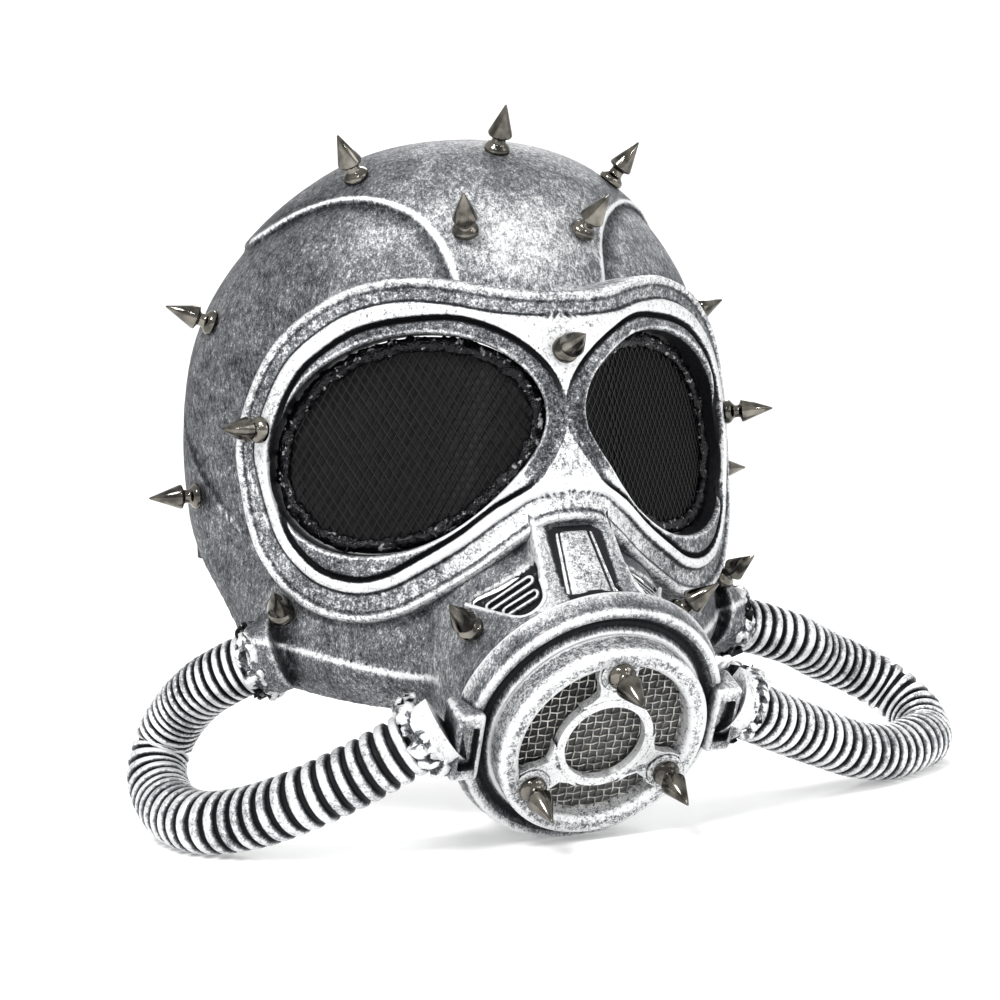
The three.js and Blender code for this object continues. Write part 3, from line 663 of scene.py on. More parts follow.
# %% The filter's own directions
FILTER_TILT = math.radians(29)
FILTER_AXIS = Vector((0, -math.cos(FILTER_TILT), -math.sin(FILTER_TILT)))
FILTER_UP = Vector((0, -math.sin(FILTER_TILT), math.cos(FILTER_TILT)))
FILTER_CENTRE = Vector((0, -128.4, -105.6))
ON_FILTER = Matrix.Translation(FILTER_CENTRE) @ Matrix(
    (Vector((1, 0, 0)), FILTER_UP, FILTER_AXIS)
).transposed().to_4x4()
RING_DEPTH = 9.0
RING_RADIUS = 37.6
FLANGE_RADIUS = 46.0
GAP = 0.3
FLANGE_FRONT = -RING_DEPTH - GAP
FLANGE_BACK = FLANGE_FRONT - 9.0
SNOUT_FRONT = FLANGE_BACK - GAP
SNOUT_RADIUS = 43.0
SNOUT_FLARE = 5.0
SNOUT_LENGTH = 60.0
WALL = 2.2


def spun(name, profile, steps=96):
    """A profile of radius and height, spun round the z axis into a closed ring or solid."""
    bpy.ops.mesh.primitive_circle_add(vertices=len(profile), radius=1, fill_type="NOTHING")
    ring = named(name)
    set_points(ring, [(radius, 0, height) for radius, height in profile])
    in_edit_mode(ring, SELECT_ALL, (bpy.ops.mesh.spin, {"steps": steps, **FULL_TURN}))
    return face_out(ring)


def filter_drum(name, radius_front, radius_back, front, back):
    bpy.ops.mesh.primitive_cone_add(
        vertices=96, radius1=radius_back, radius2=radius_front, depth=front - back,
        location=(0, 0, (front + back) / 2),
    )
    drum = named(name)
    bpy.ops.object.transform_apply(location=True)
    return turned_to(drum, ON_FILTER)


def snout(name, inward):
    front = SNOUT_RADIUS - inward
    lip = 1.0 if inward > 0 else 0.0
    return filter_drum(
        name, front, front + SNOUT_FLARE, SNOUT_FRONT + lip, SNOUT_FRONT - SNOUT_LENGTH - lip,
    )


# %% [markdown]
# ### Nose block
# Between the eyes and the filter sits a short block with a window. Its two pillars flow outwards
# at the foot, and a slightly bulging panel fills the window, with a dark groove round it.

# %% Nose block
NOSE_TOP = {"half": 12.5, "y": -108.0, "z": -32.0}
NOSE_FOOT = {"half": 19.5, "y": -128.0, "z": -63.0}
NOSE_DEPTH = 34.0


def nose_face_y(z):
    share = (z - NOSE_TOP["z"]) / (NOSE_FOOT["z"] - NOSE_TOP["z"])
    return NOSE_TOP["y"] + (NOSE_FOOT["y"] - NOSE_TOP["y"]) * share


def nose_sheet(name, right_side, proud, depth, bulge=0.0):
    """A sheet with a mirrored outline that lies on the sloping face of the nose block."""
    outline = [*right_side, *[(-x, z) for x, z in reversed(right_side)]]
    sheet = cut_sheet(name, outline, 0, 1)
    points = points_of(sheet)
    half = max(x for x, _ in right_side)
    for point in points:
        x, z, layer = point
        face = nose_face_y(z) - proud - bulge * (1 - (x / half) ** 2)
        point[:] = (x, face if layer > 0.5 else face + depth, z)
    return face_out(set_points(sheet, points))


NOSE_WINDOW = [(6.9, -35.5), (7.4, -42.0), (8.6, -51.0), (9.9, -59.5)]
WINDOW_DEPTH = 2.6


def nose_block(grow):
    side = curve_through(
        [(14.6, -26), (14.8, -34), (16.0, -46), (17.6, -55), (20.0, -61), (25.0, -66.5)],
        steps=5, closed=False,
    )
    side = [(x + grow, z) for x, z in side]
    return nose_sheet("nose block", side, grow, NOSE_DEPTH + grow)


# %% [markdown]
# ### Raised plates
# The forehead plate and the jaw panel stand a little proud of the head form. Each is the head form
# grown by its rise and kept only inside the plate's outline, as seen from the front.

# %% Forehead plate and jaw panel
PLATE_RISE = 1.8
JAW_RISE = 1.6
SEAM = [(0.25, 0.3), (0.252, 0.36), (0.26, 0.47), (0.285, 0.6), (0.34, 0.695), (0.43, 0.755),
        (0.52, 0.775), (0.6, 0.765), (0.68, 0.735), (0.8, 0.66), (0.95, 0.55)]
JAW_LINE = [(0.0, -0.76), (0.3, -0.755), (0.5, -0.735), (0.68, -0.685), (0.8, -0.645), (0.9, -0.62),
            (1.1, -0.6)]


def forehead_plate():
    right = [(x * HALF_WIDTH, z * DOME_HEIGHT) for x, z in curve_through(SEAM, 6, closed=False)]
    left = [(-x, z) for x, z in reversed(right)]
    outline = [*right, (FAR, FAR), (-FAR, FAR), *left]
    plate = head_form("forehead plate", PLATE_RISE)
    return carve(plate, turned_to(cut_sheet("outline", outline, -FAR, FAR), FRONT), "INTERSECT")


def jaw_panel():
    right = [(x * HALF_WIDTH, z * JAW_DROP) for x, z in curve_through(JAW_LINE, 6, closed=False)]
    left = [(-x, z) for x, z in reversed(right[1:])]
    outline = [(-FAR, -FAR), (FAR, -FAR), (FAR, right[-1][1]), *reversed(right), *reversed(left),
               (-FAR, right[-1][1])]
    panel = head_form("jaw panel", JAW_RISE)
    return carve(panel, turned_to(cut_sheet("outline", outline, -FAR, FAR), FRONT), "INTERSECT")


def shell_outside(grow):
    outside = head_form("head form", grow)
    if grow == 0:
        carve(outside, forehead_plate(), "UNION")
        carve(outside, jaw_panel(), "UNION")
    carve(outside, snout("snout", -grow), "UNION")
    return carve(outside, nose_block(grow), "UNION")


outside = shell_outside(0)
outside.name = "outside of the shell"
print("outside of the shell", len(outside.data.polygons), "faces")


# %% [markdown]
# ### Trim, hollow and eye openings
# The moulding is trimmed along the rim and the jaw, hollowed to a wall of 2.2 mm, and opened
# where the goggle frame drops in. The eye openings lie in two planes that meet at the nose.

# %% The two eye planes
GOGGLE_ANGLE = math.radians(33.5)
BRIDGE_DEPTH = 108.6
SWEEP_START = 70.0
SWEEP_BACK = 10.0
BRIDGE_HALF = 24.0
BRIDGE_BACK = 9.0
ARCH_DROP = 36.0
GOGGLE_HALF_SPAN = 121.0
EYE_HALF_WIDTH = 50.0
EYE_HALF_HEIGHT = 37.5
EYE_MIDDLE = 56.5
EYE_LOWERED = 2.6
EYE_SLANT = 0.13
EYE_DROOP = 0.07
EYE_PINCH = 0.07
EYE_TUCK = 3.0
TUCK_TURN = math.radians(217)
EYE_PLANE = Matrix.Translation((0, -BRIDGE_DEPTH, 0)) @ Matrix((
    Vector((math.cos(GOGGLE_ANGLE), math.sin(GOGGLE_ANGLE), 0)),
    Vector((0, 0, 1)),
    Vector((math.sin(GOGGLE_ANGLE), -math.cos(GOGGLE_ANGLE), 0)),
)).transposed().to_4x4()


def eye_outline(grow, sides=96, tuck=0.0):
    """The egg shape of an eye. tuck draws its lower inner side in, where the nose rail is broad."""
    made = []
    for i in range(sides):
        turn = 2 * math.pi * i / sides
        drawn = grow - tuck * max(0.0, math.cos(turn - TUCK_TURN)) ** 6
        across = (EYE_HALF_WIDTH + drawn) * math.cos(turn)
        up = (EYE_HALF_HEIGHT + drawn) * math.sin(turn)
        made.append((
            EYE_MIDDLE + across - EYE_SLANT * up,
            up * (1 + EYE_PINCH * math.cos(turn)) - EYE_DROOP * across - EYE_LOWERED,
        ))
    return made


MIDLINE_SLOPE = math.tan(GOGGLE_ANGLE)
ARCH_ROUND = 5.5


def bent_back(points):
    """How far the flat eye plane drops at these points: the temple sweeps back, the bridge rounds."""
    swept = np.maximum(0, points[:, 0] - SWEEP_START) / (GOGGLE_HALF_SPAN - SWEEP_START)
    near = np.clip(1 - points[:, 0] / BRIDGE_HALF, 0, 1)
    high = np.clip(1 + points[:, 1] / ARCH_DROP, 0, 1)
    past = np.maximum(0, -points[:, 0]) * MIDLINE_SLOPE
    return SWEEP_BACK * swept**2 + (BRIDGE_BACK * near**2 + past) * high


def set_on_face(piece):
    points = points_of(piece)
    points[:, 2] -= bent_back(points)
    return turned_to(set_points(piece, points), EYE_PLANE)


def gap_to(points, line, closed):
    """Distance from each point to a line through many points."""
    ends = np.roll(line, -1, axis=0) if closed else line[1:]
    starts = line if closed else line[:-1]
    best = np.full(len(points), 1e9)
    for a, b in zip(starts, ends):
        span = b - a
        share = np.clip((points - a) @ span / max(span @ span, 1e-9), 0, 1)
        best = np.minimum(best, np.linalg.norm(points - a - share[:, None] * span, axis=1))
    return best


def point_inside(point, line):
    x, y = point
    ends = np.roll(line, -1, axis=0)
    crosses = (line[:, 1] > y) != (ends[:, 1] > y)
    at = line[:, 0] + (y - line[:, 1]) / np.where(ends[:, 1] == line[:, 1], 1e-9, ends[:, 1] - line[:, 1]) * (
        ends[:, 0] - line[:, 0])
    return bool(np.count_nonzero(crosses & (x < at)) % 2)


def smooth_share(value, low, high):
    share = np.clip((value - low) / (high - low), 0, 1)
    return share * share * (3 - 2 * share)


# %% Shell wall
JAW_TRIM = [(RIM_Y, FAR), (-FAR, FAR), (-FAR, -101), (-90, -101), (-30, -86), (RIM_Y, -26)]
EYE_CLEARANCE = 3.8


def trim_block():
    block = turned_to(cut_sheet("trim", JAW_TRIM, -FAR, FAR), SIDE)
    return carve(block, snout("snout", 0), "UNION")


def eye_hole():
    return set_on_face(cut_sheet("eye hole", eye_outline(EYE_CLEARANCE), -70, 100))


inside = carve(head_form("hollow", -WALL), snout("snout hollow", WALL), "UNION")
shell = carve(outside, inside)
carve(shell, trim_block(), "INTERSECT")
right_hole = eye_hole()
left_hole = mirror_copy(right_hole, "left eye hole")
carve(shell, right_hole)
carve(shell, left_hole)
front_room = filter_drum("room for the filter", FLANGE_RADIUS + 6, FLANGE_RADIUS + 6, 100, SNOUT_FRONT)
carve(shell, front_room)
print("trimmed shell", len(shell.data.polygons), "faces")

# %% [markdown]
# ### Hose routes
# The hoses leave collars on the cheeks, loop down to the table and come back to the filter. Their
# routes are lists of points, and a smooth curve runs through them.

# %% Hose routes and collars
HOSE_RADIUS = 11.0
HOSE_BORE = 7.8
HOSE_FLOOR = -130.2
COLLAR_ROOM = 1.2
HOSE_ROUTES = {
    "left": [
        (-91, -41, -76), (-99, -36, -79), (-106, -30, -83), (-112, -22, -88), (-119, -8, -99),
        (-123, -1, -109), (-127, -6, -119), (-127, -19, -127), (-125, -36, -130), (-119, -55, -130),
        (-107, -72, -126.5), (-94, -87, -120), (-77, -99, -111), (-64.5, -106.5, -103.5),
        (-55.5, -111, -98),
    ],
    "right": [
        (91, -41, -76), (101, -38, -79), (113, -36, -82.5), (129, -33, -88), (147, -25.5, -96.5),
        (164, -22, -104), (178, -25, -113), (184, -36, -122.5), (179, -51, -130), (164, -65, -130),
        (145, -76, -130), (123, -86, -125.5), (104, -93, -118.5), (82, -101, -109.5),
        (64.5, -108, -102), (55.5, -111, -98),
    ],
}


def route_curve(side, steps=24):
    """Points at even steps along the route, and the length up to each."""
    corners = [np.array((x, y, max(z, HOSE_FLOOR)), float) for x, y, z in HOSE_ROUTES[side]]
    corners = [2 * corners[0] - corners[1], *corners, 2 * corners[-1] - corners[-2]]
    made = []
    for i in range(1, len(corners) - 2):
        a, b, c, d = corners[i - 1:i + 3]
        knots = [0.0]
        for p, q in ((a, b), (b, c), (c, d)):
            knots.append(knots[-1] + max(np.linalg.norm(q - p), 1e-6) ** 0.5)
        t0, t1, t2, t3 = knots
        for step in range(steps):
            t = t1 + (t2 - t1) * step / steps
            ab = (t1 - t) / (t1 - t0) * a + (t - t0) / (t1 - t0) * b
            bc = (t2 - t) / (t2 - t1) * b + (t - t1) / (t2 - t1) * c
            cd = (t3 - t) / (t3 - t2) * c + (t - t2) / (t3 - t2) * d
            abc = (t2 - t) / (t2 - t0) * ab + (t - t0) / (t2 - t0) * bc
            bcd = (t3 - t) / (t3 - t1) * bc + (t - t1) / (t3 - t1) * cd
            made.append((t2 - t) / (t2 - t1) * abc + (t - t1) / (t2 - t1) * bcd)
    made.append(corners[-2])
    points = np.array(made)
    lengths = np.concatenate([[0], np.cumsum(np.linalg.norm(np.diff(points, axis=0), axis=1))])
    return points, lengths


def laid_along(piece, points, lengths):
    """Lays a piece that was made upright, from z = 0 up, along a curve."""
    tangents = np.gradient(points, axis=0)
    tangents /= np.linalg.norm(tangents, axis=1)[:, None]
    across = np.cross(tangents[0], (0, 0, 1.0))
    frames = []
    for tangent in tangents:
        across = across - tangent * np.dot(across, tangent)
        across /= np.linalg.norm(across)
        frames.append((across, np.cross(tangent, across)))
    first = np.array([f[0] for f in frames])
    second = np.array([f[1] for f in frames])
    old = points_of(piece)
    at = np.clip(old[:, 2], 0, lengths[-1])
    over = (old[:, 2] - at)[:, None]

    def along(rows):
        return np.stack([np.interp(at, lengths, rows[:, k]) for k in range(3)], axis=1)

    new = along(points) + along(tangents) * over
    new += along(first) * old[:, :1] + along(second) * old[:, 1:2]
    return set_points(piece, new)


def collar(side, end, wall, start, length):
    """A short sleeve round one end of a hose: 0 is the cheek and 1 the filter."""
    points, lengths = route_curve(side)
    if end == 1:
        points, lengths = points[::-1], (lengths[-1] - lengths)[::-1]
    way = Vector(points[np.searchsorted(lengths, 8.0)] - points[0]).normalized()
    radius = HOSE_RADIUS + COLLAR_ROOM + wall
    bpy.ops.mesh.primitive_cylinder_add(vertices=48, radius=radius, depth=length)
    sleeve = named("collar")
    place = Matrix.Translation(Vector(points[0]) + way * (start + length / 2))
    return turned_to(sleeve, place @ way.to_track_quat("Z", "Y").to_matrix().to_4x4())


CHEEK_WALL = 1.5
FILTER_WALL = 1.4
for side in ("left", "right"):
    sleeve = collar(side, 0, CHEEK_WALL, -6, 10)
    carve(sleeve, head_form("hollow", -WALL))
    carve(shell, sleeve, "UNION")
    carve(shell, collar(side, 0, 0, -0.3, 13))
print("shell with collars", len(shell.data.polygons), "faces")

# %% [markdown]
# A moulding has no sharp inner corners. A fine voxel remesh turns all the joined forms into one
# even skin, and a few rounds of smoothing give every edge a small radius.

# %% Vents and window
VENT_CORNERS = np.array([
    (-35.0, -100.5, -57.4), (-26.4, -106.2, -51.3), (-15.9, -110.6, -44.9), (-16.6, -116.0, -49.5),
    (-18.1, -122.1, -56.7), (-25.5, -120.0, -61.2),
])
VENT_SLOTS = [((-31.3, -107.6, -57.6), (-18.9, -112.6, -50.2)), ((-28.1, -114.2, -58.8), (-19.4, -117.6, -54.4))]
VENT_DEPTH = 2.4
vent_middle = VENT_CORNERS.mean(axis=0)
_, _, vent_axes = np.linalg.svd(VENT_CORNERS - vent_middle)
vent_out = vent_axes[2] * (1 if vent_axes[2][1] < 0 else -1)
vent_across = vent_axes[0]
vent_up = np.cross(vent_out, vent_across)
ON_VENT = Matrix.Translation(vent_middle) @ Matrix(
    (Vector(vent_across), Vector(vent_up), Vector(vent_out))
).transposed().to_4x4()


def on_vent(corners):
    away = np.array(corners) - vent_middle
    return np.stack([away @ vent_across, away @ vent_up], axis=1)


def both_sides(piece):
    return piece, mirror_copy(piece, piece.name + " mirrored")


vent_line = [tuple(p) for p in curve_through(on_vent(VENT_CORNERS), 6)]
vent_cut = turned_to(cut_sheet("vent", vent_line, -VENT_DEPTH, 12), ON_VENT)
for cutter in both_sides(vent_cut):
    carve(shell, cutter)
carve(shell, nose_sheet("window", NOSE_WINDOW, 2, 2 + WINDOW_DEPTH))

# %% One even skin
SHELL_VOXEL = 1.15
SHELL_MOST = 180000
soften(shell, SHELL_VOXEL, 4)
thin_to(shell, SHELL_MOST)
shell.name = "face_shell_skin"


def near_line(points, line, width):
    """1 on a line that is drawn in the front view or in space, fading to 0 over the width."""
    return np.exp(-(gap_to(points, np.array(line, float), closed=False) / width) ** 2)


skin = points_of(shell)
mirrored_front = np.abs(skin[:, 0])
sided = np.column_stack([mirrored_front, skin[:, 2]])
seam_line = [(x * HALF_WIDTH, z * DOME_HEIGHT) for x, z in curve_through(SEAM, 6, closed=False)]
jaw_line = [(x * HALF_WIDTH, z * JAW_DROP) for x, z in curve_through(JAW_LINE, 6, closed=False)]
ahead = skin[:, 1] < -10
seam = near_line(sided, seam_line, 0.9) * ahead
jaw = near_line(sided, jaw_line, 1.1) * (skin[:, 1] < -30) * (skin[:, 1] > -92)
beside = near_line(sided, np.array(seam_line) + (2.6, -1.2), 3.0) * ahead
TEMPLE_SEAM = [(108, 14, 15), (107.5, 1.6, 4.0), (105.4, -7.1, -8.3), (101.3, -14.9, -19.7), (95.0, -23.9, -30.6)]
whole = np.column_stack([mirrored_front, skin[:, 1], skin[:, 2]])
temple = near_line(whole, curve_through(TEMPLE_SEAM, 6, closed=False), 0.9)
temple_dark = near_line(whole, np.array(curve_through(TEMPLE_SEAM, 6, closed=False)) + (0, -2.2, -1.2), 1.6)
normals = np.empty(len(skin) * 3)
shell.data.vertex_normals.foreach_get("vector", normals)
normals = normals.reshape(-1, 3)
set_points(shell, skin + normals * (0.7 * temple + 0.35 * seam)[:, None])
# brow_highlight is a painted highlight on the forehead; crown_dark and temple_side make the shell darker towards
# the crown and the temples
brow_highlight = np.exp(-(np.hypot(skin[:, 0] / 34, (skin[:, 2] - 66) / 24)) ** 2) * (skin[:, 1] < -30)
crown_dark = smooth_share(skin[:, 2], 80, 112)
temple_side = smooth_share(mirrored_front, 60, 100)
cheek = smooth_share(-skin[:, 2], 40, 60) * (skin[:, 1] < -20)
sides = 0.32 * brow_highlight - 0.14 * crown_dark - 0.08 * temple_side + 0.05 * cheek
left_skin = whole * (-1, 1, 1)
in_vent = np.linalg.norm(left_skin - vent_middle, axis=1) < 20
near_vent = np.flatnonzero(in_vent)
in_vent[near_vent] = [point_inside(p, np.array(vent_line)) for p in on_vent(left_skin[near_vent])]
print("vent floor points", np.count_nonzero(in_vent))
low_nose = (skin[:, 2] < -30) & (skin[:, 2] > -66)
pillars = low_nose & (mirrored_front > 9.5) & (mirrored_front < 21) & (skin[:, 1] < -106)
window = (mirrored_front < 10) & (skin[:, 2] < -33) & (skin[:, 2] > -62) & (skin[:, 1] < -100)
sides += 0.25 * (pillars & ~in_vent) - 1.2 * in_vent - 0.8 * window
silver_attribute(shell, sides + 0.75 * seam + 0.5 * jaw + 0.6 * temple - 0.3 * beside - 0.4 * temple_dark)
print("skin", len(shell.data.polygons), "faces")
settle(shell, "shell_paint", "face_shell", material=shell_paint)

# %% [markdown]
# Fine relief is put on as pieces of its own: a bulging panel in the window with a thin frame round
# it, and a dark floor, two raised slots and a rib in each vent. They keep edges that the even skin
# can't hold.

# %% Window panel, slots and ribs
def nose_panel(name, half_top, half_foot, top, foot, front, bulge, back):
    """A panel on the nose block, bulging across its width."""
    arc = [(-math.cos(math.pi * i / 16), front + bulge * math.sin(math.pi * i / 16) ** 0.8) for i in range(17)]
    panel = cut_sheet(name, [*arc, (1.0, back), (-1.0, back)], 0, 1)
    points = points_of(panel)
    z = foot + (top - foot) * points[:, 2]
    half = half_foot + (half_top - half_foot) * points[:, 2]
    y = np.array([nose_face_y(level) for level in z]) - points[:, 1]
    set_points(panel, np.column_stack([points[:, 0] * half, y, z]))
    face_out(panel)
    apply_modifier(panel, "BEVEL", width=0.35, segments=2, limit_method="ANGLE", angle_limit=0.8)
    return panel


def stadium(start, end, radius, sides=14):
    a, b = on_vent([start, end])
    along = (b - a) / np.linalg.norm(b - a)
    across = np.array((-along[1], along[0]))
    made = []
    for centre, begin in ((b, -math.pi / 2), (a, math.pi / 2)):
        for i in range(sides + 1):
            turn = begin + math.pi * i / sides
            made.append(tuple(centre + radius * (along * math.cos(turn) + across * math.sin(turn))))
    return made


window_frame = nose_panel("window frame", 6.7, 9.6, -34.8, -60.0, -0.35, 0.0, -4)
window_room = nose_panel("window room", 5.7, 8.3, -33.0, -58.4, 2.0, 0.0, -6)
carve(window_frame, window_room)
window_panel = nose_panel("window panel", 5.0, 7.5, -34.8, -57.6, -0.9, 1.3, -4)
nose_detail = joined([window_frame, window_panel], "nose_window")
smooth_by_angle(nose_detail, 40)
silver_attribute(nose_detail, np.full(len(nose_detail.data.vertices), 0.0))
settle(nose_detail, "frame_paint", material=frame_paint)

vent_floor = cut_sheet("vent floor", vent_line, -VENT_DEPTH - 1.4, -VENT_DEPTH + 0.1)
silver_attribute(vent_floor, np.full(len(vent_floor.data.vertices), -1.0))
slot_parts = [turned_to(vent_floor, ON_VENT)]
for start, end in VENT_SLOTS:
    rim = cut_sheet("slot rim", stadium(start, end, 2.1), -VENT_DEPTH - 0.6, -0.7)
    carve(rim, cut_sheet("slot hole", stadium(start, end, 1.15), -VENT_DEPTH + 0.2, 3))
    apply_modifier(rim, "BEVEL", width=0.3, segments=2, limit_method="ANGLE", angle_limit=0.8)
    silver_attribute(rim, smooth_share(points_of(rim)[:, 2], -2.0, -0.9) * 0.9 - 0.7)
    slot_parts.append(turned_to(rim, ON_VENT))
rib_way = np.array(curve_through([(-36.5, -99.5, -58.0), (-31.0, -109.5, -60.4), (-25.5, -120.5, -61.9),
                                  (-20.5, -123.5, -59.6), (-17.2, -123.0, -55.5), (-15.9, -117.0, -50.0)],
                                 8, closed=False))
slot_parts.append(wire_along("vent rib", rib_way + 0.3 * vent_out, 0.75, 10))
silver_attribute(slot_parts[-1], np.full(len(slot_parts[-1].data.vertices), 0.15))
vent_detail = joined(slot_parts, "vent_left_relief")
smooth_by_angle(vent_detail, 40)
vent_twin = mirror_copy(vent_detail, "vent_right_relief")
settle(vent_detail, "frame_paint", material=frame_paint)
settle(vent_twin, "frame_paint", material=frame_paint)

# %% [markdown]
# ## The goggle frame
# One rail runs round both eyes. Across its width it steps from a rolled outer edge over a rough
# band to a smooth raised band, then down a groove to the rim of the eye. The groove follows
# the eye, while the bands follow the outside, so the smooth band widens at the nose.

# %% Goggle outline and the rail's height
GOGGLE_RISE = 55.0
GOGGLE_FALL = 64.0
PAST_MIDLINE = 5.0
GOGGLE_ROWS = [
    (-0.4, 0.86), (0.0, 0.86), (0.16, 0.89), (0.31, 0.965), (0.46, 1.0), (0.61, 0.95), (0.74, 0.82),
    (0.86, 0.62), (0.95, 0.32), (1.0, 0.0), (0.99, -0.26), (0.955, -0.55), (0.88, -0.77),
    (0.77, -0.93), (0.63, -1.0), (0.5, -0.97), (0.38, -0.87), (0.25, -0.74), (0.12, -0.58),
    (0.0, -0.49), (-0.4, -0.49),
]
outer_line = np.array(curve_through([
    (across * GOGGLE_HALF_SPAN, up * (GOGGLE_FALL if up < 0 else GOGGLE_RISE))
    for across, up in GOGGLE_ROWS
], 14, closed=False))
eye_line = np.array(eye_outline(0, 240, EYE_TUCK))
# height over the inset from the outer edge, above and below the eye
BAND_ROWS = np.array([
    (0.0, 5.6), (0.5, 7.0), (1.3, 7.9), (2.2, 7.9), (2.9, 7.4), (3.6, 7.1), (6.0, 7.0), (8.0, 7.1),
    (8.6, 7.6), (9.2, 8.6), (10.2, 9.1), (12.5, 9.3), (60.0, 9.3),
])
LOW_ROWS = np.array([
    (0.0, 5.6), (0.6, 7.4), (1.7, 8.4), (2.7, 8.3), (3.6, 7.4), (4.3, 7.0), (7.0, 6.9), (9.8, 7.1),
    (10.4, 7.6), (11.0, 8.5), (12.0, 8.9), (13.2, 8.9), (60.0, 8.9),
])
# drop across the groove, over the way from its middle towards the eye
GROOVE_ROWS = np.array([
    (-60.0, 0.0), (-1.6, 0.0), (-1.0, -0.6), (-0.5, -2.4), (0.0, -3.0), (0.5, -2.6), (1.0, -1.2), (1.8, -0.6),
    (60.0, -0.6),
])
GROOVE_INSET = 15.4
GROOVE_TO_EYE = 6.2


WALL_DEPTH = 45.0
FRAME_WALL = 2.8
PLATE_BACK = 2.6


def rail_parts(points):
    """Inset from the outer line, distance from the eye, and the way past the groove to the eye."""
    inset = gap_to(points, outer_line, closed=False)
    rim = gap_to(points, eye_line, closed=True)
    turn = np.degrees(np.arctan2(points[:, 1] - eye_line[:, 1].mean(), points[:, 0] - eye_line[:, 0].mean())) % 360
    by_eye = smooth_share(turn, 85, 120) * (1 - smooth_share(turn, 190, 215))
    past_groove = (1 - by_eye) * (inset - GROOVE_INSET) + by_eye * (GROOVE_TO_EYE - rim)
    fade = 1 - smooth_share(turn, 150, 172) * (1 - smooth_share(turn, 192, 208))
    return inset, rim, past_groove, fade


def rail_height(points):
    inset, rim, past_groove, fade = rail_parts(points)
    top = np.interp(inset, BAND_ROWS[:, 0], BAND_ROWS[:, 1])
    low = np.interp(inset, LOW_ROWS[:, 0], LOW_ROWS[:, 1])
    below = smooth_share(-points[:, 1], 0, 35)
    band = top + (low - top) * below
    groove = np.interp(past_groove, GROOVE_ROWS[:, 0], GROOVE_ROWS[:, 1]) * fade
    edge = np.interp(rim, [0.0, 0.3, 0.9, 1.8, 60], [-1.8, -0.7, -0.1, 0.0, 0.0])
    return band + groove + edge


def rail_silver(points, levels):
    """How much silver the brush leaves: most on the raised band, little in the groove."""
    inset, rim, past_groove, fade = rail_parts(points)
    band_start = 8.8 + 1.9 * smooth_share(-points[:, 1], 0, 35)
    smooth_band = smooth_share(inset, band_start - 0.4, band_start + 0.6) * (past_groove < -1.0)
    rolled = smooth_share(inset, 0.2, 1.0) * (1 - smooth_share(inset, 2.6, 3.6))
    nose_rim = smooth_share(past_groove, 0.6, 2.0) * smooth_share(-points[:, 1], 8, 24)
    nose_rim *= 1 - smooth_share(points[:, 0], 38, 62)
    on_rim = smooth_share(past_groove, 0.4, 1.4) * (1 - nose_rim)
    in_groove = np.exp(-(past_groove / 0.75) ** 2) * fade
    made = -0.08 + 0.42 * smooth_band + 0.25 * rolled + 0.45 * nose_rim - 0.12 * on_rim - 1.2 * in_groove
    made += 0.3 * np.exp(-((rim - 0.9) / 0.6) ** 2)
    made -= 0.55 * np.exp(-((inset - band_start + 0.3) / 0.45) ** 2) + 0.3 * np.exp(-((inset - 3.9) / 0.5) ** 2)
    made += 0.3 * (1 - smooth_share(points[:, 0], 26, 55)) * smooth_share(-points[:, 1], 12, 26) * (inset > 4.5)
    bridge = (1 - smooth_share(points[:, 0], 9, 17)) * smooth_share(points[:, 1], -19, -12)
    made -= 0.15 * bridge * (1 - smooth_share(points[:, 1], 8, 20))
    tunnel = (levels < 5.2) & (rim < 2.0)
    return np.where(tunnel, -3.0, made)


# %% Goggle rail
STATIONS = 300
ACROSS = 72
eye_middle = eye_line.mean(axis=0)
around = np.linspace(0, 2 * math.pi, STATIONS, endpoint=False)
ways = np.stack([np.cos(around), np.sin(around)], axis=1)


def reach(line, way):
    """How far a ray from the middle of the eye runs to a line."""
    starts, spans = line[:-1] - eye_middle, line[1:] - line[:-1]
    cross = way[0] * spans[:, 1] - way[1] * spans[:, 0]
    cross = np.where(abs(cross) < 1e-9, 1e-9, cross)
    far = (starts[:, 0] * spans[:, 1] - starts[:, 1] * spans[:, 0]) / cross
    share = (starts[:, 0] * way[1] - starts[:, 1] * way[0]) / cross
    hits = far[(share >= 0) & (share <= 1) & (far > 0)]
    return hits.min() if len(hits) else FAR


outer_reach = np.array([reach(outer_line, way) for way in ways])
to_midline = (-PAST_MIDLINE - eye_middle[0]) / np.minimum(ways[:, 0], -1e-6)
outer_reach = np.where(ways[:, 0] < 0, np.minimum(outer_reach, to_midline), outer_reach)
closed_eye = np.vstack([eye_line, eye_line[:1]])
eye_reach = np.array([reach(closed_eye, way) for way in ways])

# the section runs round: up the outer wall, over the top to the eye, down the tunnel and back
# under the plate; side is 0 at the outer wall and 1 at the eye, each row is (side, in, height)
TUNNEL_DEPTH = -16.0
section = [("outer", 0.0, -WALL_DEPTH), ("outer", 0.0, -20.0), ("outer", 0.0, 0.0), ("outer", 0.0, 4.0)]
section += [("top", step / ACROSS, 0.0) for step in range(ACROSS + 1)]
section += [("eye", 0.0, 5.0), ("eye", 0.0, 0.0), ("eye", 0.0, TUNNEL_DEPTH)]
section += [("eye", FRAME_WALL, TUNNEL_DEPTH), ("eye", FRAME_WALL, PLATE_BACK)]
section += [("outer", FRAME_WALL, PLATE_BACK), ("outer", FRAME_WALL, -WALL_DEPTH)]

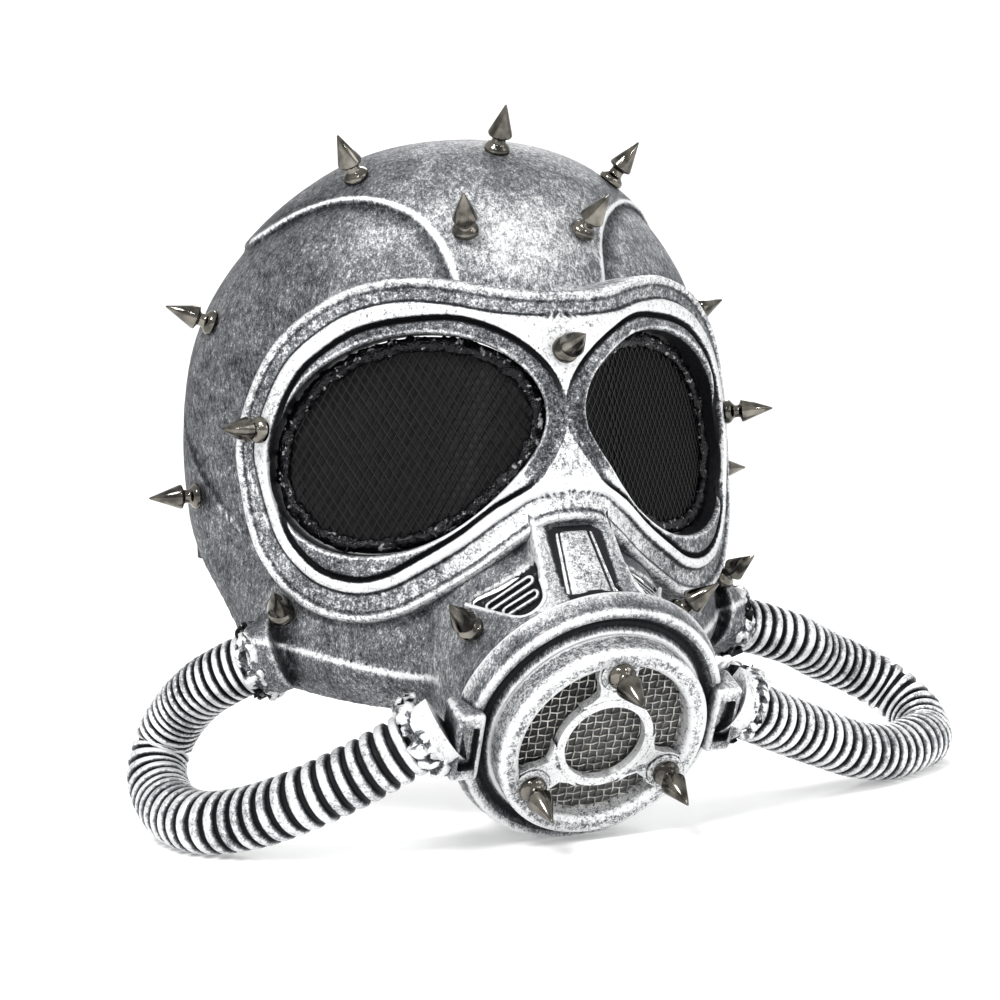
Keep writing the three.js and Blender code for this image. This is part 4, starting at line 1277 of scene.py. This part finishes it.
bpy.ops.mesh.primitive_grid_add(x_subdivisions=STATIONS, y_subdivisions=len(section), size=1)
rail = named("goggle rail")
grid = points_of(rail)
columns = np.rint((grid[:, 0] + 0.5) * STATIONS).astype(int) % STATIONS
rows = np.rint((grid[:, 1] + 0.5) * len(section)).astype(int) % len(section)
flat = np.zeros((len(section), STATIONS, 3))
for k, (kind, amount, height) in enumerate(section):
    if kind == "top":
        far = outer_reach + (eye_reach - outer_reach) * amount
    elif kind == "outer":
        far = outer_reach - amount
    else:
        far = eye_reach + amount
    flat[k, :, :2] = eye_middle + ways * far[:, None]
    flat[k, :, 2] = rail_height(flat[k, :, :2]) if kind == "top" else height
set_points(rail, flat[rows, columns])
face_out(rail)
silver_attribute(rail, rail_silver(points_of(rail)[:, :2], points_of(rail)[:, 2]))
set_on_face(rail)
points = points_of(rail)
drawn_in = np.sqrt(points[:, 0] ** 2 + ARCH_ROUND**2) - np.abs(points[:, 0])
arch = 1 - smooth_share(points[:, 2], -26, -4)
points[:, 1] += MIDLINE_SLOPE * drawn_in * arch
set_points(rail, points)
to_half = {"plane_co": (0, 0, 0), "plane_no": (1, 0, 0), "use_fill": True, "clear_inner": True}
in_edit_mode(rail, SELECT_ALL, (bpy.ops.mesh.bisect, to_half))
face_out(rail)
print("half rail", len(rail.data.polygons), "faces")
carve(rail, shell_outside(GAP))
print("half rail on the shell", len(rail.data.polygons), "faces")
on_midline = abs(points_of(rail)[:, 0]) < 0.001
rail.data.vertices.foreach_set("select", on_midline)
for kind in (rail.data.edges, rail.data.polygons):
    for element in kind:
        element.select = all(on_midline[i] for i in element.vertices)
in_edit_mode(rail, (bpy.ops.mesh.delete, {"type": "FACE"}))
apply_modifier(rail, "MIRROR", merge_threshold=0.02)
face_out(rail)
rail.name = "goggle_frame_skin"
smooth_by_angle(rail, 40)
settle(rail, "frame_paint", "goggle_frame", material=frame_paint)

# %% [markdown]
# ## The filter
# Two turned rings sit one behind the other. The front one carries a small web of three pads on a
# ring, and a woven wire cloth lies behind it.

# %% Flange and front ring
FLANGE_PROFILE = [
    (34.5, FLANGE_BACK), (48.2, FLANGE_BACK), (49, FLANGE_BACK + 0.8), (49, FLANGE_BACK + 1.8),
    (47.3, FLANGE_FRONT - 2.6), (47.1, FLANGE_FRONT - 0.9), (46.6, FLANGE_FRONT - 0.25),
    (45.8, FLANGE_FRONT), (44.6, FLANGE_FRONT), (43.8, FLANGE_FRONT - 0.3),
    (43.3, FLANGE_FRONT - 1.1), (42.4, FLANGE_FRONT - 2.0), (41.2, FLANGE_FRONT - 2.5),
    (40.1, FLANGE_FRONT - 2.2), (39.3, FLANGE_FRONT - 1.2), (38.8, FLANGE_FRONT - 0.4),
    (38.2, FLANGE_FRONT), (34.5, FLANGE_FRONT),
]
RING_WALL = [(37.6, -RING_DEPTH + step * (RING_DEPTH - 2.2) / 8) for step in range(1, 9)]
RING_PROFILE = [
    (30.5, -RING_DEPTH), (37.6, -RING_DEPTH), *RING_WALL, (37.4, -1.2), (36.8, -0.5), (35.9, -0.1),
    (34.9, 0.0), (33.2, 0.0), (32.2, -0.1), (31.3, -0.5), (30.7, -1.2), (30.5, -2.2),
]


def lips_lit(ring, lips):
    """More silver on the lips of a turned ring. Each lip is (radius, height, how much)."""
    places = points_of(ring)
    radii = np.hypot(places[:, 0], places[:, 1])
    silver = np.zeros(len(places))
    for radius, height, amount in lips:
        silver += amount * np.exp(-((radii - radius) / 1.2) ** 2 - ((places[:, 2] - height) / 1.5) ** 2)
    return silver_attribute(ring, silver)


flange = spun("filter_flange_skin", FLANGE_PROFILE, 144)
lips_lit(flange, [(46.2, FLANGE_FRONT, 0.4), (49.0, FLANGE_BACK + 1.5, 0.3), (38.8, FLANGE_FRONT, 0.3),
                  (41.2, FLANGE_FRONT - 2.5, -0.4)])
turned_to(flange, ON_FILTER)
clear_rings = filter_drum("clear", 41, 41, 100, FLANGE_FRONT - 2.5)
for side, sign in (("left", -1), ("right", 1)):
    bpy.ops.mesh.primitive_cube_add(size=1)
    bracket = named("bracket")
    bracket.scale = (10, 26, 13)
    bracket.location = (sign * 47, 0, FLANGE_BACK + 6.5)
    bpy.ops.object.transform_apply(location=True, scale=True)
    apply_modifier(bracket, "BEVEL", width=1.6, segments=3)
    bpy.ops.mesh.primitive_cube_add(size=1)
    recess = named("recess")
    recess.scale = (6, 17, 8)
    recess.location = (sign * 47, 0, FLANGE_BACK + 13)
    bpy.ops.object.transform_apply(location=True, scale=True)
    apply_modifier(recess, "BEVEL", width=1.2, segments=3)
    carve(bracket, recess)
    turned_to(bracket, ON_FILTER)
    sleeve = collar(side, 1, FILTER_WALL, -6, 8)
    ahead = filter_drum("ahead", 92, 92, 100, FLANGE_BACK)
    carve(sleeve, ahead, "INTERSECT")
    carve(bracket, sleeve, "UNION")
    carve(bracket, copy_of(clear_rings, "clear copy"))
    carve(flange, bracket, "UNION")
    carve(flange, collar(side, 1, 0, -0.3, 9))
inner_room = filter_drum("inner room", 34.5, 34.5, 100, FLANGE_BACK - 1)
carve(flange, inner_room)
bpy.data.objects.remove(clear_rings)
smooth_by_angle(flange, 32)
settle(flange, "shell_paint", "filter_flange", material=shell_paint)

WEB_FRONT = -1.0
WEB_BACK = -4.2
WEB_RADIUS = 17.5
WEB_HOLE = 14.5
PAD_RADIUS = 6.4
PAD_REACH = 28.3
PAD_TURNS = [math.radians(turn) for turn in (90, 210, 330)]


def round_line(radius, x=0.0, y=0.0, sides=96):
    return [(x + radius * math.cos(2 * math.pi * i / sides), y + radius * math.sin(2 * math.pi * i / sides))
            for i in range(sides)]


web = cut_sheet("web", round_line(WEB_RADIUS), WEB_BACK, WEB_FRONT)
for turn in PAD_TURNS:
    away = np.array((math.cos(turn), math.sin(turn)))
    beside = np.array((-away[1], away[0]))
    half = [(15.0, 11.2), (17.0, 7.6), (19.5, 5.2), (23.0, 5.6), (26.0, 6.9), (30.0, 7.2), (34.0, 7.2)]
    one_side = [away * r + beside * w for r, w in half]
    other = [away * r - beside * w for r, w in reversed(half)]
    pad = cut_sheet("pad", [tuple(p) for p in [*one_side, *other]], WEB_BACK, WEB_FRONT)
    carve(web, pad, "UNION")
carve(web, cut_sheet("hole", round_line(WEB_HOLE), WEB_BACK - 1, 2))
apply_modifier(web, "BEVEL", width=0.7, segments=3, limit_method="ANGLE", angle_limit=math.radians(50))
for turn in PAD_TURNS:
    boss = cut_sheet("boss", round_line(PAD_RADIUS, *(PAD_REACH * np.array((math.cos(turn), math.sin(turn))))),
                     WEB_BACK, 0.0)
    apply_modifier(boss, "BEVEL", width=0.5, segments=2, limit_method="ANGLE", angle_limit=math.radians(50))
    carve(web, boss, "UNION")
carve(web, cut_sheet("bore", round_line(RING_RADIUS - 1.5, sides=144), WEB_BACK - 1, 2), "INTERSECT")
front_ring = spun("filter_front_ring_skin", RING_PROFILE, 144)
lips_lit(front_ring, [(36.2, -0.4, 0.35), (31.6, -0.6, 0.35)])
carve(front_ring, web, "UNION")
turned_to(front_ring, ON_FILTER)
smooth_by_angle(front_ring, 35)
settle(front_ring, "frame_paint", "filter_front_ring", material=frame_paint)

# %% [markdown]
# ### Wire cloth
# A grey sheet behind the cloth carries painted light and shade: darker at the upper left and lighter at
# the lower right, standing for the shaded inside and the lit floor seen through. One wire goes over and
# under its neighbours. It is modelled once as a long thin tube and copied side by side, every second copy
# shifted by one mesh. The other direction is the same cloth turned by a quarter, and a round punch cuts both.

# %% Wires
CLOTH_PITCH = 2.9
WIRE_RADIUS = 0.28
CLOTH_RADIUS = 30.2
CLOTH_MIDDLE = WEB_BACK - GAP - 0.75
STEPS_PER_CELL = 8


def cloth_wire(phase):
    cells = int(2 * CLOTH_RADIUS / CLOTH_PITCH) + 3
    along = np.linspace(-cells / 2, cells / 2, cells * STEPS_PER_CELL + 1) * CLOTH_PITCH
    height = WIRE_RADIUS * np.cos(math.pi * along / CLOTH_PITCH + phase)
    return wire_along("wire", np.stack([along, 0 * along, height], axis=1), WIRE_RADIUS)


count = int(CLOTH_RADIUS / CLOTH_PITCH)
patterns = [cloth_wire(0.0), cloth_wire(math.pi)]
wires = []
for k in range(-count, count + 1):
    for turned_by in (0.0, math.pi / 2):
        wire_piece = copy_of(patterns[(k + (turned_by > 0)) % 2], "wire")
        turned_to(wire_piece, Matrix.Rotation(turned_by, 4, "Z") @ Matrix.Translation((0, k * CLOTH_PITCH, 0)))
        chord = math.sqrt(CLOTH_RADIUS**2 - (k * CLOTH_PITCH) ** 2)
        points = points_of(wire_piece)
        axis = 0 if turned_by == 0 else 1
        points[:, axis] = np.clip(points[:, axis], -chord, chord)
        set_points(wire_piece, points)
        wires.append(wire_piece)
for pattern in patterns:
    bpy.data.objects.remove(pattern)
painted_light_behind_cloth = cut_sheet("painted_light_sheet", round_line(CLOTH_RADIUS - 0.3), -0.95, -0.8)
painted_light_behind_cloth.data.materials.append(painted_light_sheet)
rim = points_of(painted_light_behind_cloth)
# painted light and shade: lighter towards the lower right of the cloth, darker towards the upper left
silver_attribute(painted_light_behind_cloth, 0.42 + (rim[:, 0] - rim[:, 1]) / CLOTH_RADIUS * 0.25)
for wire_piece in wires:
    wire_piece.data.materials.append(steel_wire)
cloth = joined([*wires, painted_light_behind_cloth], "filter_mesh_cloth")
turned_to(cloth, ON_FILTER @ Matrix.Translation((0, 0, CLOTH_MIDDLE)))
only(cloth)
bpy.ops.object.shade_smooth()
settle(cloth, "steel_mesh", "filter_mesh")

# %% [markdown]
# ## Eye meshes
# Behind each opening a black expanded mesh with tall diamond cells is glued over a sheet of painted shade.
# Two families of straight strands cross.

# %% Eye meshes
CELL_WIDTH = 3.5
CELL_HEIGHT = 5.5
STRAND_RADIUS = 0.32
EYE_MESH_LEVEL = -1.2
SHADE_SHEET_THICKNESS = 0.8


def eye_mesh():
    low = np.array((EYE_MIDDLE - EYE_HALF_WIDTH - 3, -EYE_HALF_HEIGHT - 8))
    high = np.array((EYE_MIDDLE + EYE_HALF_WIDTH + 3, EYE_HALF_HEIGHT + 6))
    edge = np.array(eye_outline(-0.5, 96, EYE_TUCK))
    # the sheet under the strands is painted shade for the dim inside seen through the cells
    parts = [cut_sheet("shade_sheet", [tuple(p) for p in edge], EYE_MESH_LEVEL - SHADE_SHEET_THICKNESS, EYE_MESH_LEVEL)]
    parts[0].data.materials.append(eye_shade_sheet)
    slope = CELL_HEIGHT / CELL_WIDTH
    reach_x = (high[1] - low[1]) / slope
    for lean in (1, -1):
        start = low[0] - reach_x
        while start < high[0] + reach_x:
            share = np.linspace(0, 1, 40)
            line = np.column_stack([start + share * reach_x * lean, low[1] + share * (high[1] - low[1])])
            kept = line[[point_inside(p, edge) for p in line]]
            if len(kept) > 2:
                centres = np.column_stack([kept, np.full(len(kept), EYE_MESH_LEVEL + 0.25)])
                parts.append(wire_along("strand", centres, STRAND_RADIUS, 5))
                parts[-1].data.materials.append(black_wire)
            start += CELL_WIDTH
    return parts


right_mesh = joined(eye_mesh(), "eye_mesh_right_strands")
set_on_face(right_mesh)
smooth_by_angle(right_mesh, 50)
left_mesh = mirror_copy(right_mesh, "eye_mesh_left_strands")
settle(right_mesh, "black_mesh", "eye_mesh_right")
settle(left_mesh, "black_mesh", "eye_mesh_left")

# %% [markdown]
# The mesh was stuck in with hot glue, and pale flecks painted on it stand for its glints. The bead is a fat tube
# along the edge of the opening, pushed about by noise, so that its wet lumps catch the light.

# %% Glue beads
def eye_glue(name, seed):
    line = np.array(eye_outline(-3.0, 260, EYE_TUCK))
    line = np.vstack([line, line[:2]])
    centres = np.column_stack([line, np.full(len(line), EYE_MESH_LEVEL + 0.9)])
    bead = wire_along(name, centres, 2.6, 14)
    points = points_of(bead)
    points[:, 2] = EYE_MESH_LEVEL + 0.9 + (points[:, 2] - EYE_MESH_LEVEL - 0.9) * 0.7
    set_points(bead, points)
    lumpy(bead, 2.4, 1.1, seed)
    lumpy(bead, 7.0, 0.8, seed + 4)
    set_on_face(bead)
    only(bead)
    bpy.ops.object.shade_smooth()
    return bead


glue_right = eye_glue("eye_glue_right", 1.0)
glue_left = mirror_copy(eye_glue("eye_glue_left_start", 9.0), "eye_glue_left")
bpy.data.objects.remove(bpy.data.objects["eye_glue_left_start"])
settle(glue_right, "black_mesh", material=wet_glue)
settle(glue_left, "black_mesh", material=wet_glue)

# %% [markdown]
# ## Hoses
# A hose is turned once as a straight ribbed tube, with flat silver ribs and black grooves, and
# is then bent along its route. Stretched stretches have a wider pitch than slack ones.

# %% Ribbed tubes
RIBS = {"left": 46, "right": 48}
RIB_DEPTH = 1.8
# share of the length, and the pitch there in mm before it is fitted to the whole length
PITCH_ROWS = {
    "left": [(0.0, 3.4), (0.3, 3.6), (0.45, 5.0), (0.6, 6.0), (1.0, 5.6)],
    "right": [(0.0, 5.0), (0.4, 5.4), (0.7, 5.6), (1.0, 5.0)],
}
RIB_SHAPE = [(0.0, 1.0), (0.13, 0.96), (0.2, 0.45), (0.27, 0.1), (0.36, 0.0), (0.64, 0.0), (0.73, 0.1), (0.8, 0.45),
             (0.87, 0.96)]


def ribbed_hose(side):
    points, lengths = route_curve(side)
    whole = lengths[-1]
    shares, pitches = np.array(PITCH_ROWS[side]).T
    steps = np.interp((np.arange(RIBS[side]) + 0.5) / RIBS[side], shares, pitches)
    marks = np.concatenate([[0], np.cumsum(steps)])
    marks *= whole / marks[-1]
    profile = []
    for i in range(RIBS[side]):
        for along, drop in RIB_SHAPE:
            profile.append((HOSE_RADIUS - RIB_DEPTH * drop, marks[i] + (marks[i + 1] - marks[i]) * along))
    profile.append((HOSE_RADIUS - RIB_DEPTH, whole))
    bore = [(HOSE_BORE, whole * (1 - k / 60)) for k in range(61)]
    tube = spun(f"hose_{side}_ribbed", [*profile, *bore], 40)
    radii = np.linalg.norm(points_of(tube)[:, :2], axis=1)
    rib = np.clip((radii - (HOSE_RADIUS - RIB_DEPTH)) / RIB_DEPTH, 0, 1)
    laid_along(tube, points, lengths)
    crest = tube.data.attributes.new("crest", "FLOAT", "POINT")
    crest.data.foreach_set("value", rib.astype(np.float32))
    smooth_by_angle(tube, 50)
    return tube


def rib_paint():
    paint = Nodes("ribs silver over black")
    crest = paint.node("ShaderNodeAttribute", attribute_name="crest").outputs["Fac"]
    grain = paint.noise(480, 5, 0.75)
    fine = paint.noise(1500, 3, 0.7)
    cloud = paint.noise(60, 3, 0.5)
    speck = paint.math("ADD", paint.math("SUBTRACT", grain, 0.5), paint.math("SUBTRACT", fine, 0.5))
    amount = paint.math("ADD", paint.math("MULTIPLY", crest, 1.15), paint.math("MULTIPLY", speck, 0.9))
    amount = paint.math("ADD", amount, paint.math("MULTIPLY", paint.math("SUBTRACT", cloud, 0.5), 0.9))
    thin = paint.mix(paint.range(amount, 0.45, 0.85), BLACK_VINYL, DULL_SILVER)
    paint.set("Base Color", paint.mix(paint.range(amount, 0.8, 1.25), thin, BRIGHT_SILVER))
    paint.set("Metallic", paint.range(amount, 0.6, 1.0, 0.0, 0.55))
    paint.set("Specular IOR Level", 0.2)
    paint.set("Roughness", paint.range(grain, 0.3, 0.7, 0.5, 0.35))
    paint.bump(grain, 0.4, 0.0006)
    return paint.material


ribs_material = rib_paint()
for side in ("left", "right"):
    settle(ribbed_hose(side), "hose_paint", f"hose_{side}", material=ribs_material)

# %% [markdown]
# The hose ends were stuck in by hand and brushed over, so each wears a ring of silvery lumps.

# %% Glue round the hose ends
def glue_ring(name, side, end, at, radius, thickness, seed):
    points, lengths = route_curve(side)
    if end == 1:
        points, lengths = points[::-1], (lengths[-1] - lengths)[::-1]
    start = np.array([np.interp(at, lengths, points[:, k]) for k in range(3)])
    ahead = np.array([np.interp(at + 2, lengths, points[:, k]) for k in range(3)])
    way = Vector(ahead - start).normalized()
    bpy.ops.mesh.primitive_torus_add(
        major_segments=110, minor_segments=22, major_radius=radius, minor_radius=thickness,
    )
    ring = named(name)
    for vertex in ring.data.vertices:
        vertex.co.z *= 1.5
    ring.data.update()
    lumpy(ring, 8.0, 4.0, seed)
    lumpy(ring, 3.0, 1.0, seed + 3)
    turned_to(ring, Matrix.Translation(start) @ way.to_track_quat("Z", "Y").to_matrix().to_4x4())
    only(ring)
    bpy.ops.object.shade_smooth()
    return ring


for side, seed in (("left", 2.0), ("right", 6.0)):
    settle(glue_ring(f"glue_cheek_{side}", side, 0, 4.0, 12.0, 2.2, seed), "shell_paint", material=glue_paint)
    settle(glue_ring(f"glue_filter_{side}", side, 1, 2.6, 12.0, 2.4, seed + 1), "shell_paint",
           material=glue_paint)

# %% [markdown]
# ## Spikes
# The spikes are catalogue parts: a rounded disc, a narrow neck and a cone. One is turned and
# then set in every place of the construction, pointing the way its own node points.

# %% Spikes
SPIKE_LENGTH = 18.5
SPIKE_PROFILE = [
    (0.001, 0.0), (4.4, 0.0), (4.75, 0.35), (4.75, 1.1), (4.6, 1.7), (4.1, 2.4), (3.3, 3.0), (2.75, 3.5),
    (2.55, 4.0), (2.5, 5.4), (2.7, 5.75), (3.6, 6.1), (4.3, 6.4), (4.5, 6.8), (4.45, 7.3), (0.35, 18.2),
    (0.001, 18.5),
]
POLE_WELD = 0.01
spike = face_out(spun("spike pattern", SPIKE_PROFILE, 48), POLE_WELD)


def spike_place(node):
    """The foot and the way of a spike, from the vertices of its node."""
    points = points_of(frame["nodes"][node])
    points = np.unique(np.round(points, 7), axis=0)
    middle = points.mean(axis=0)
    tip = points[np.argmax(np.linalg.norm(points - middle, axis=1))]
    far = np.linalg.norm(points - tip, axis=1)
    foot = points[far > SPIKE_LENGTH * MM * 0.995]
    centre = foot.mean(axis=0)
    way = (tip - centre) / np.linalg.norm(tip - centre)
    return Vector(tip - way * SPIKE_LENGTH * MM), Vector(way)


spike_nodes = sorted(name for name in frame["nodes"] if name.startswith("spike_"))
for node in spike_nodes:
    foot, way = spike_place(node)
    one = copy_of(spike, f"{node}_turned")
    place = Matrix.Translation(foot) @ way.to_track_quat("Z", "Y").to_matrix().to_4x4() @ Matrix.Scale(MM, 4)
    smooth_by_angle(one, 30)
    settle(one, "spike_metal", node, material=spike_metal, place=place)
bpy.data.objects.remove(spike)

# %% [markdown]
# ## Strap
# A plain woven elastic runs round the back of the head. The picture hides it, so it is kept simple.

# %% Strap
STRAP_WIDTH = 30.0
STRAP_THICKNESS = 1.6
STRAP_DROP = 26.0
STRAP_SAG = 14.0
STRAP_HALF = [(0.93, 0), (0.94, 0.12), (0.89, 0.37), (0.69, 0.61), (0.36, 0.78), (0, 0.83)]
right_way = [(across * HALF_WIDTH, back * HALF_WIDTH) for across, back in STRAP_HALF]
left_way = [(-x, y) for x, y in right_way[:-1]]
strap_line = np.array(curve_through([*left_way, *reversed(right_way)], 12, closed=False))
strap_length = np.concatenate([[0], np.cumsum(np.linalg.norm(np.diff(strap_line, axis=0), axis=1))])
bpy.ops.mesh.primitive_cube_add(size=1)
strap = named("strap_elastic")
set_points(strap, points_of(strap) * (STRAP_THICKNESS, STRAP_WIDTH, 1) + (0, 0, 0.5))
apply_modifier(strap, "BEVEL", width=0.35, segments=2, limit_method="ANGLE", angle_limit=1)
points = points_of(strap)
points[:, 2] *= strap_length[-1]
set_points(strap, points)
for cut in np.linspace(0, strap_length[-1], 90)[1:-1]:
    across = {"plane_co": (0, 0, cut), "plane_no": (0, 0, 1)}
    in_edit_mode(strap, SELECT_ALL, (bpy.ops.mesh.bisect, across))
points = points_of(strap)
share = points[:, 2] / strap_length[-1]
ways_along = np.gradient(strap_line, axis=0)
ways_along /= np.linalg.norm(ways_along, axis=1)[:, None]
middle = np.stack([np.interp(points[:, 2], strap_length, strap_line[:, k]) for k in (0, 1)], axis=1)
normal = np.stack([
    np.interp(points[:, 2], strap_length, ways_along[:, 1]),
    -np.interp(points[:, 2], strap_length, ways_along[:, 0]),
], axis=1)
sag = STRAP_SAG * np.sin(math.pi * share) ** 2
set_points(strap, np.column_stack([middle + normal * points[:, :1], points[:, 1] - STRAP_DROP - sag]))
face_out(strap)


def woven(name):
    cloth = Nodes(name)
    weave = cloth.node("ShaderNodeTexWave", wave_type="BANDS", bands_direction="Z")
    cloth.put(weave.inputs["Vector"], cloth.coordinates)
    weave.inputs["Scale"].default_value = 260
    weave.inputs["Distortion"].default_value = 1.0
    fuzz = cloth.noise(900, 4, 0.7)
    cloth.set("Base Color", cloth.mix(weave.outputs["Fac"], (0.008, 0.008, 0.009), (0.03, 0.03, 0.032)))
    cloth.set("Roughness", 0.85)
    cloth.bump(cloth.math("ADD", weave.outputs["Fac"], fuzz), 0.4, 0.0004)
    return cloth.material


elastic = woven("woven elastic")
smooth_by_angle(strap, 40)
settle(strap, "elastic", "strap", material=elastic)
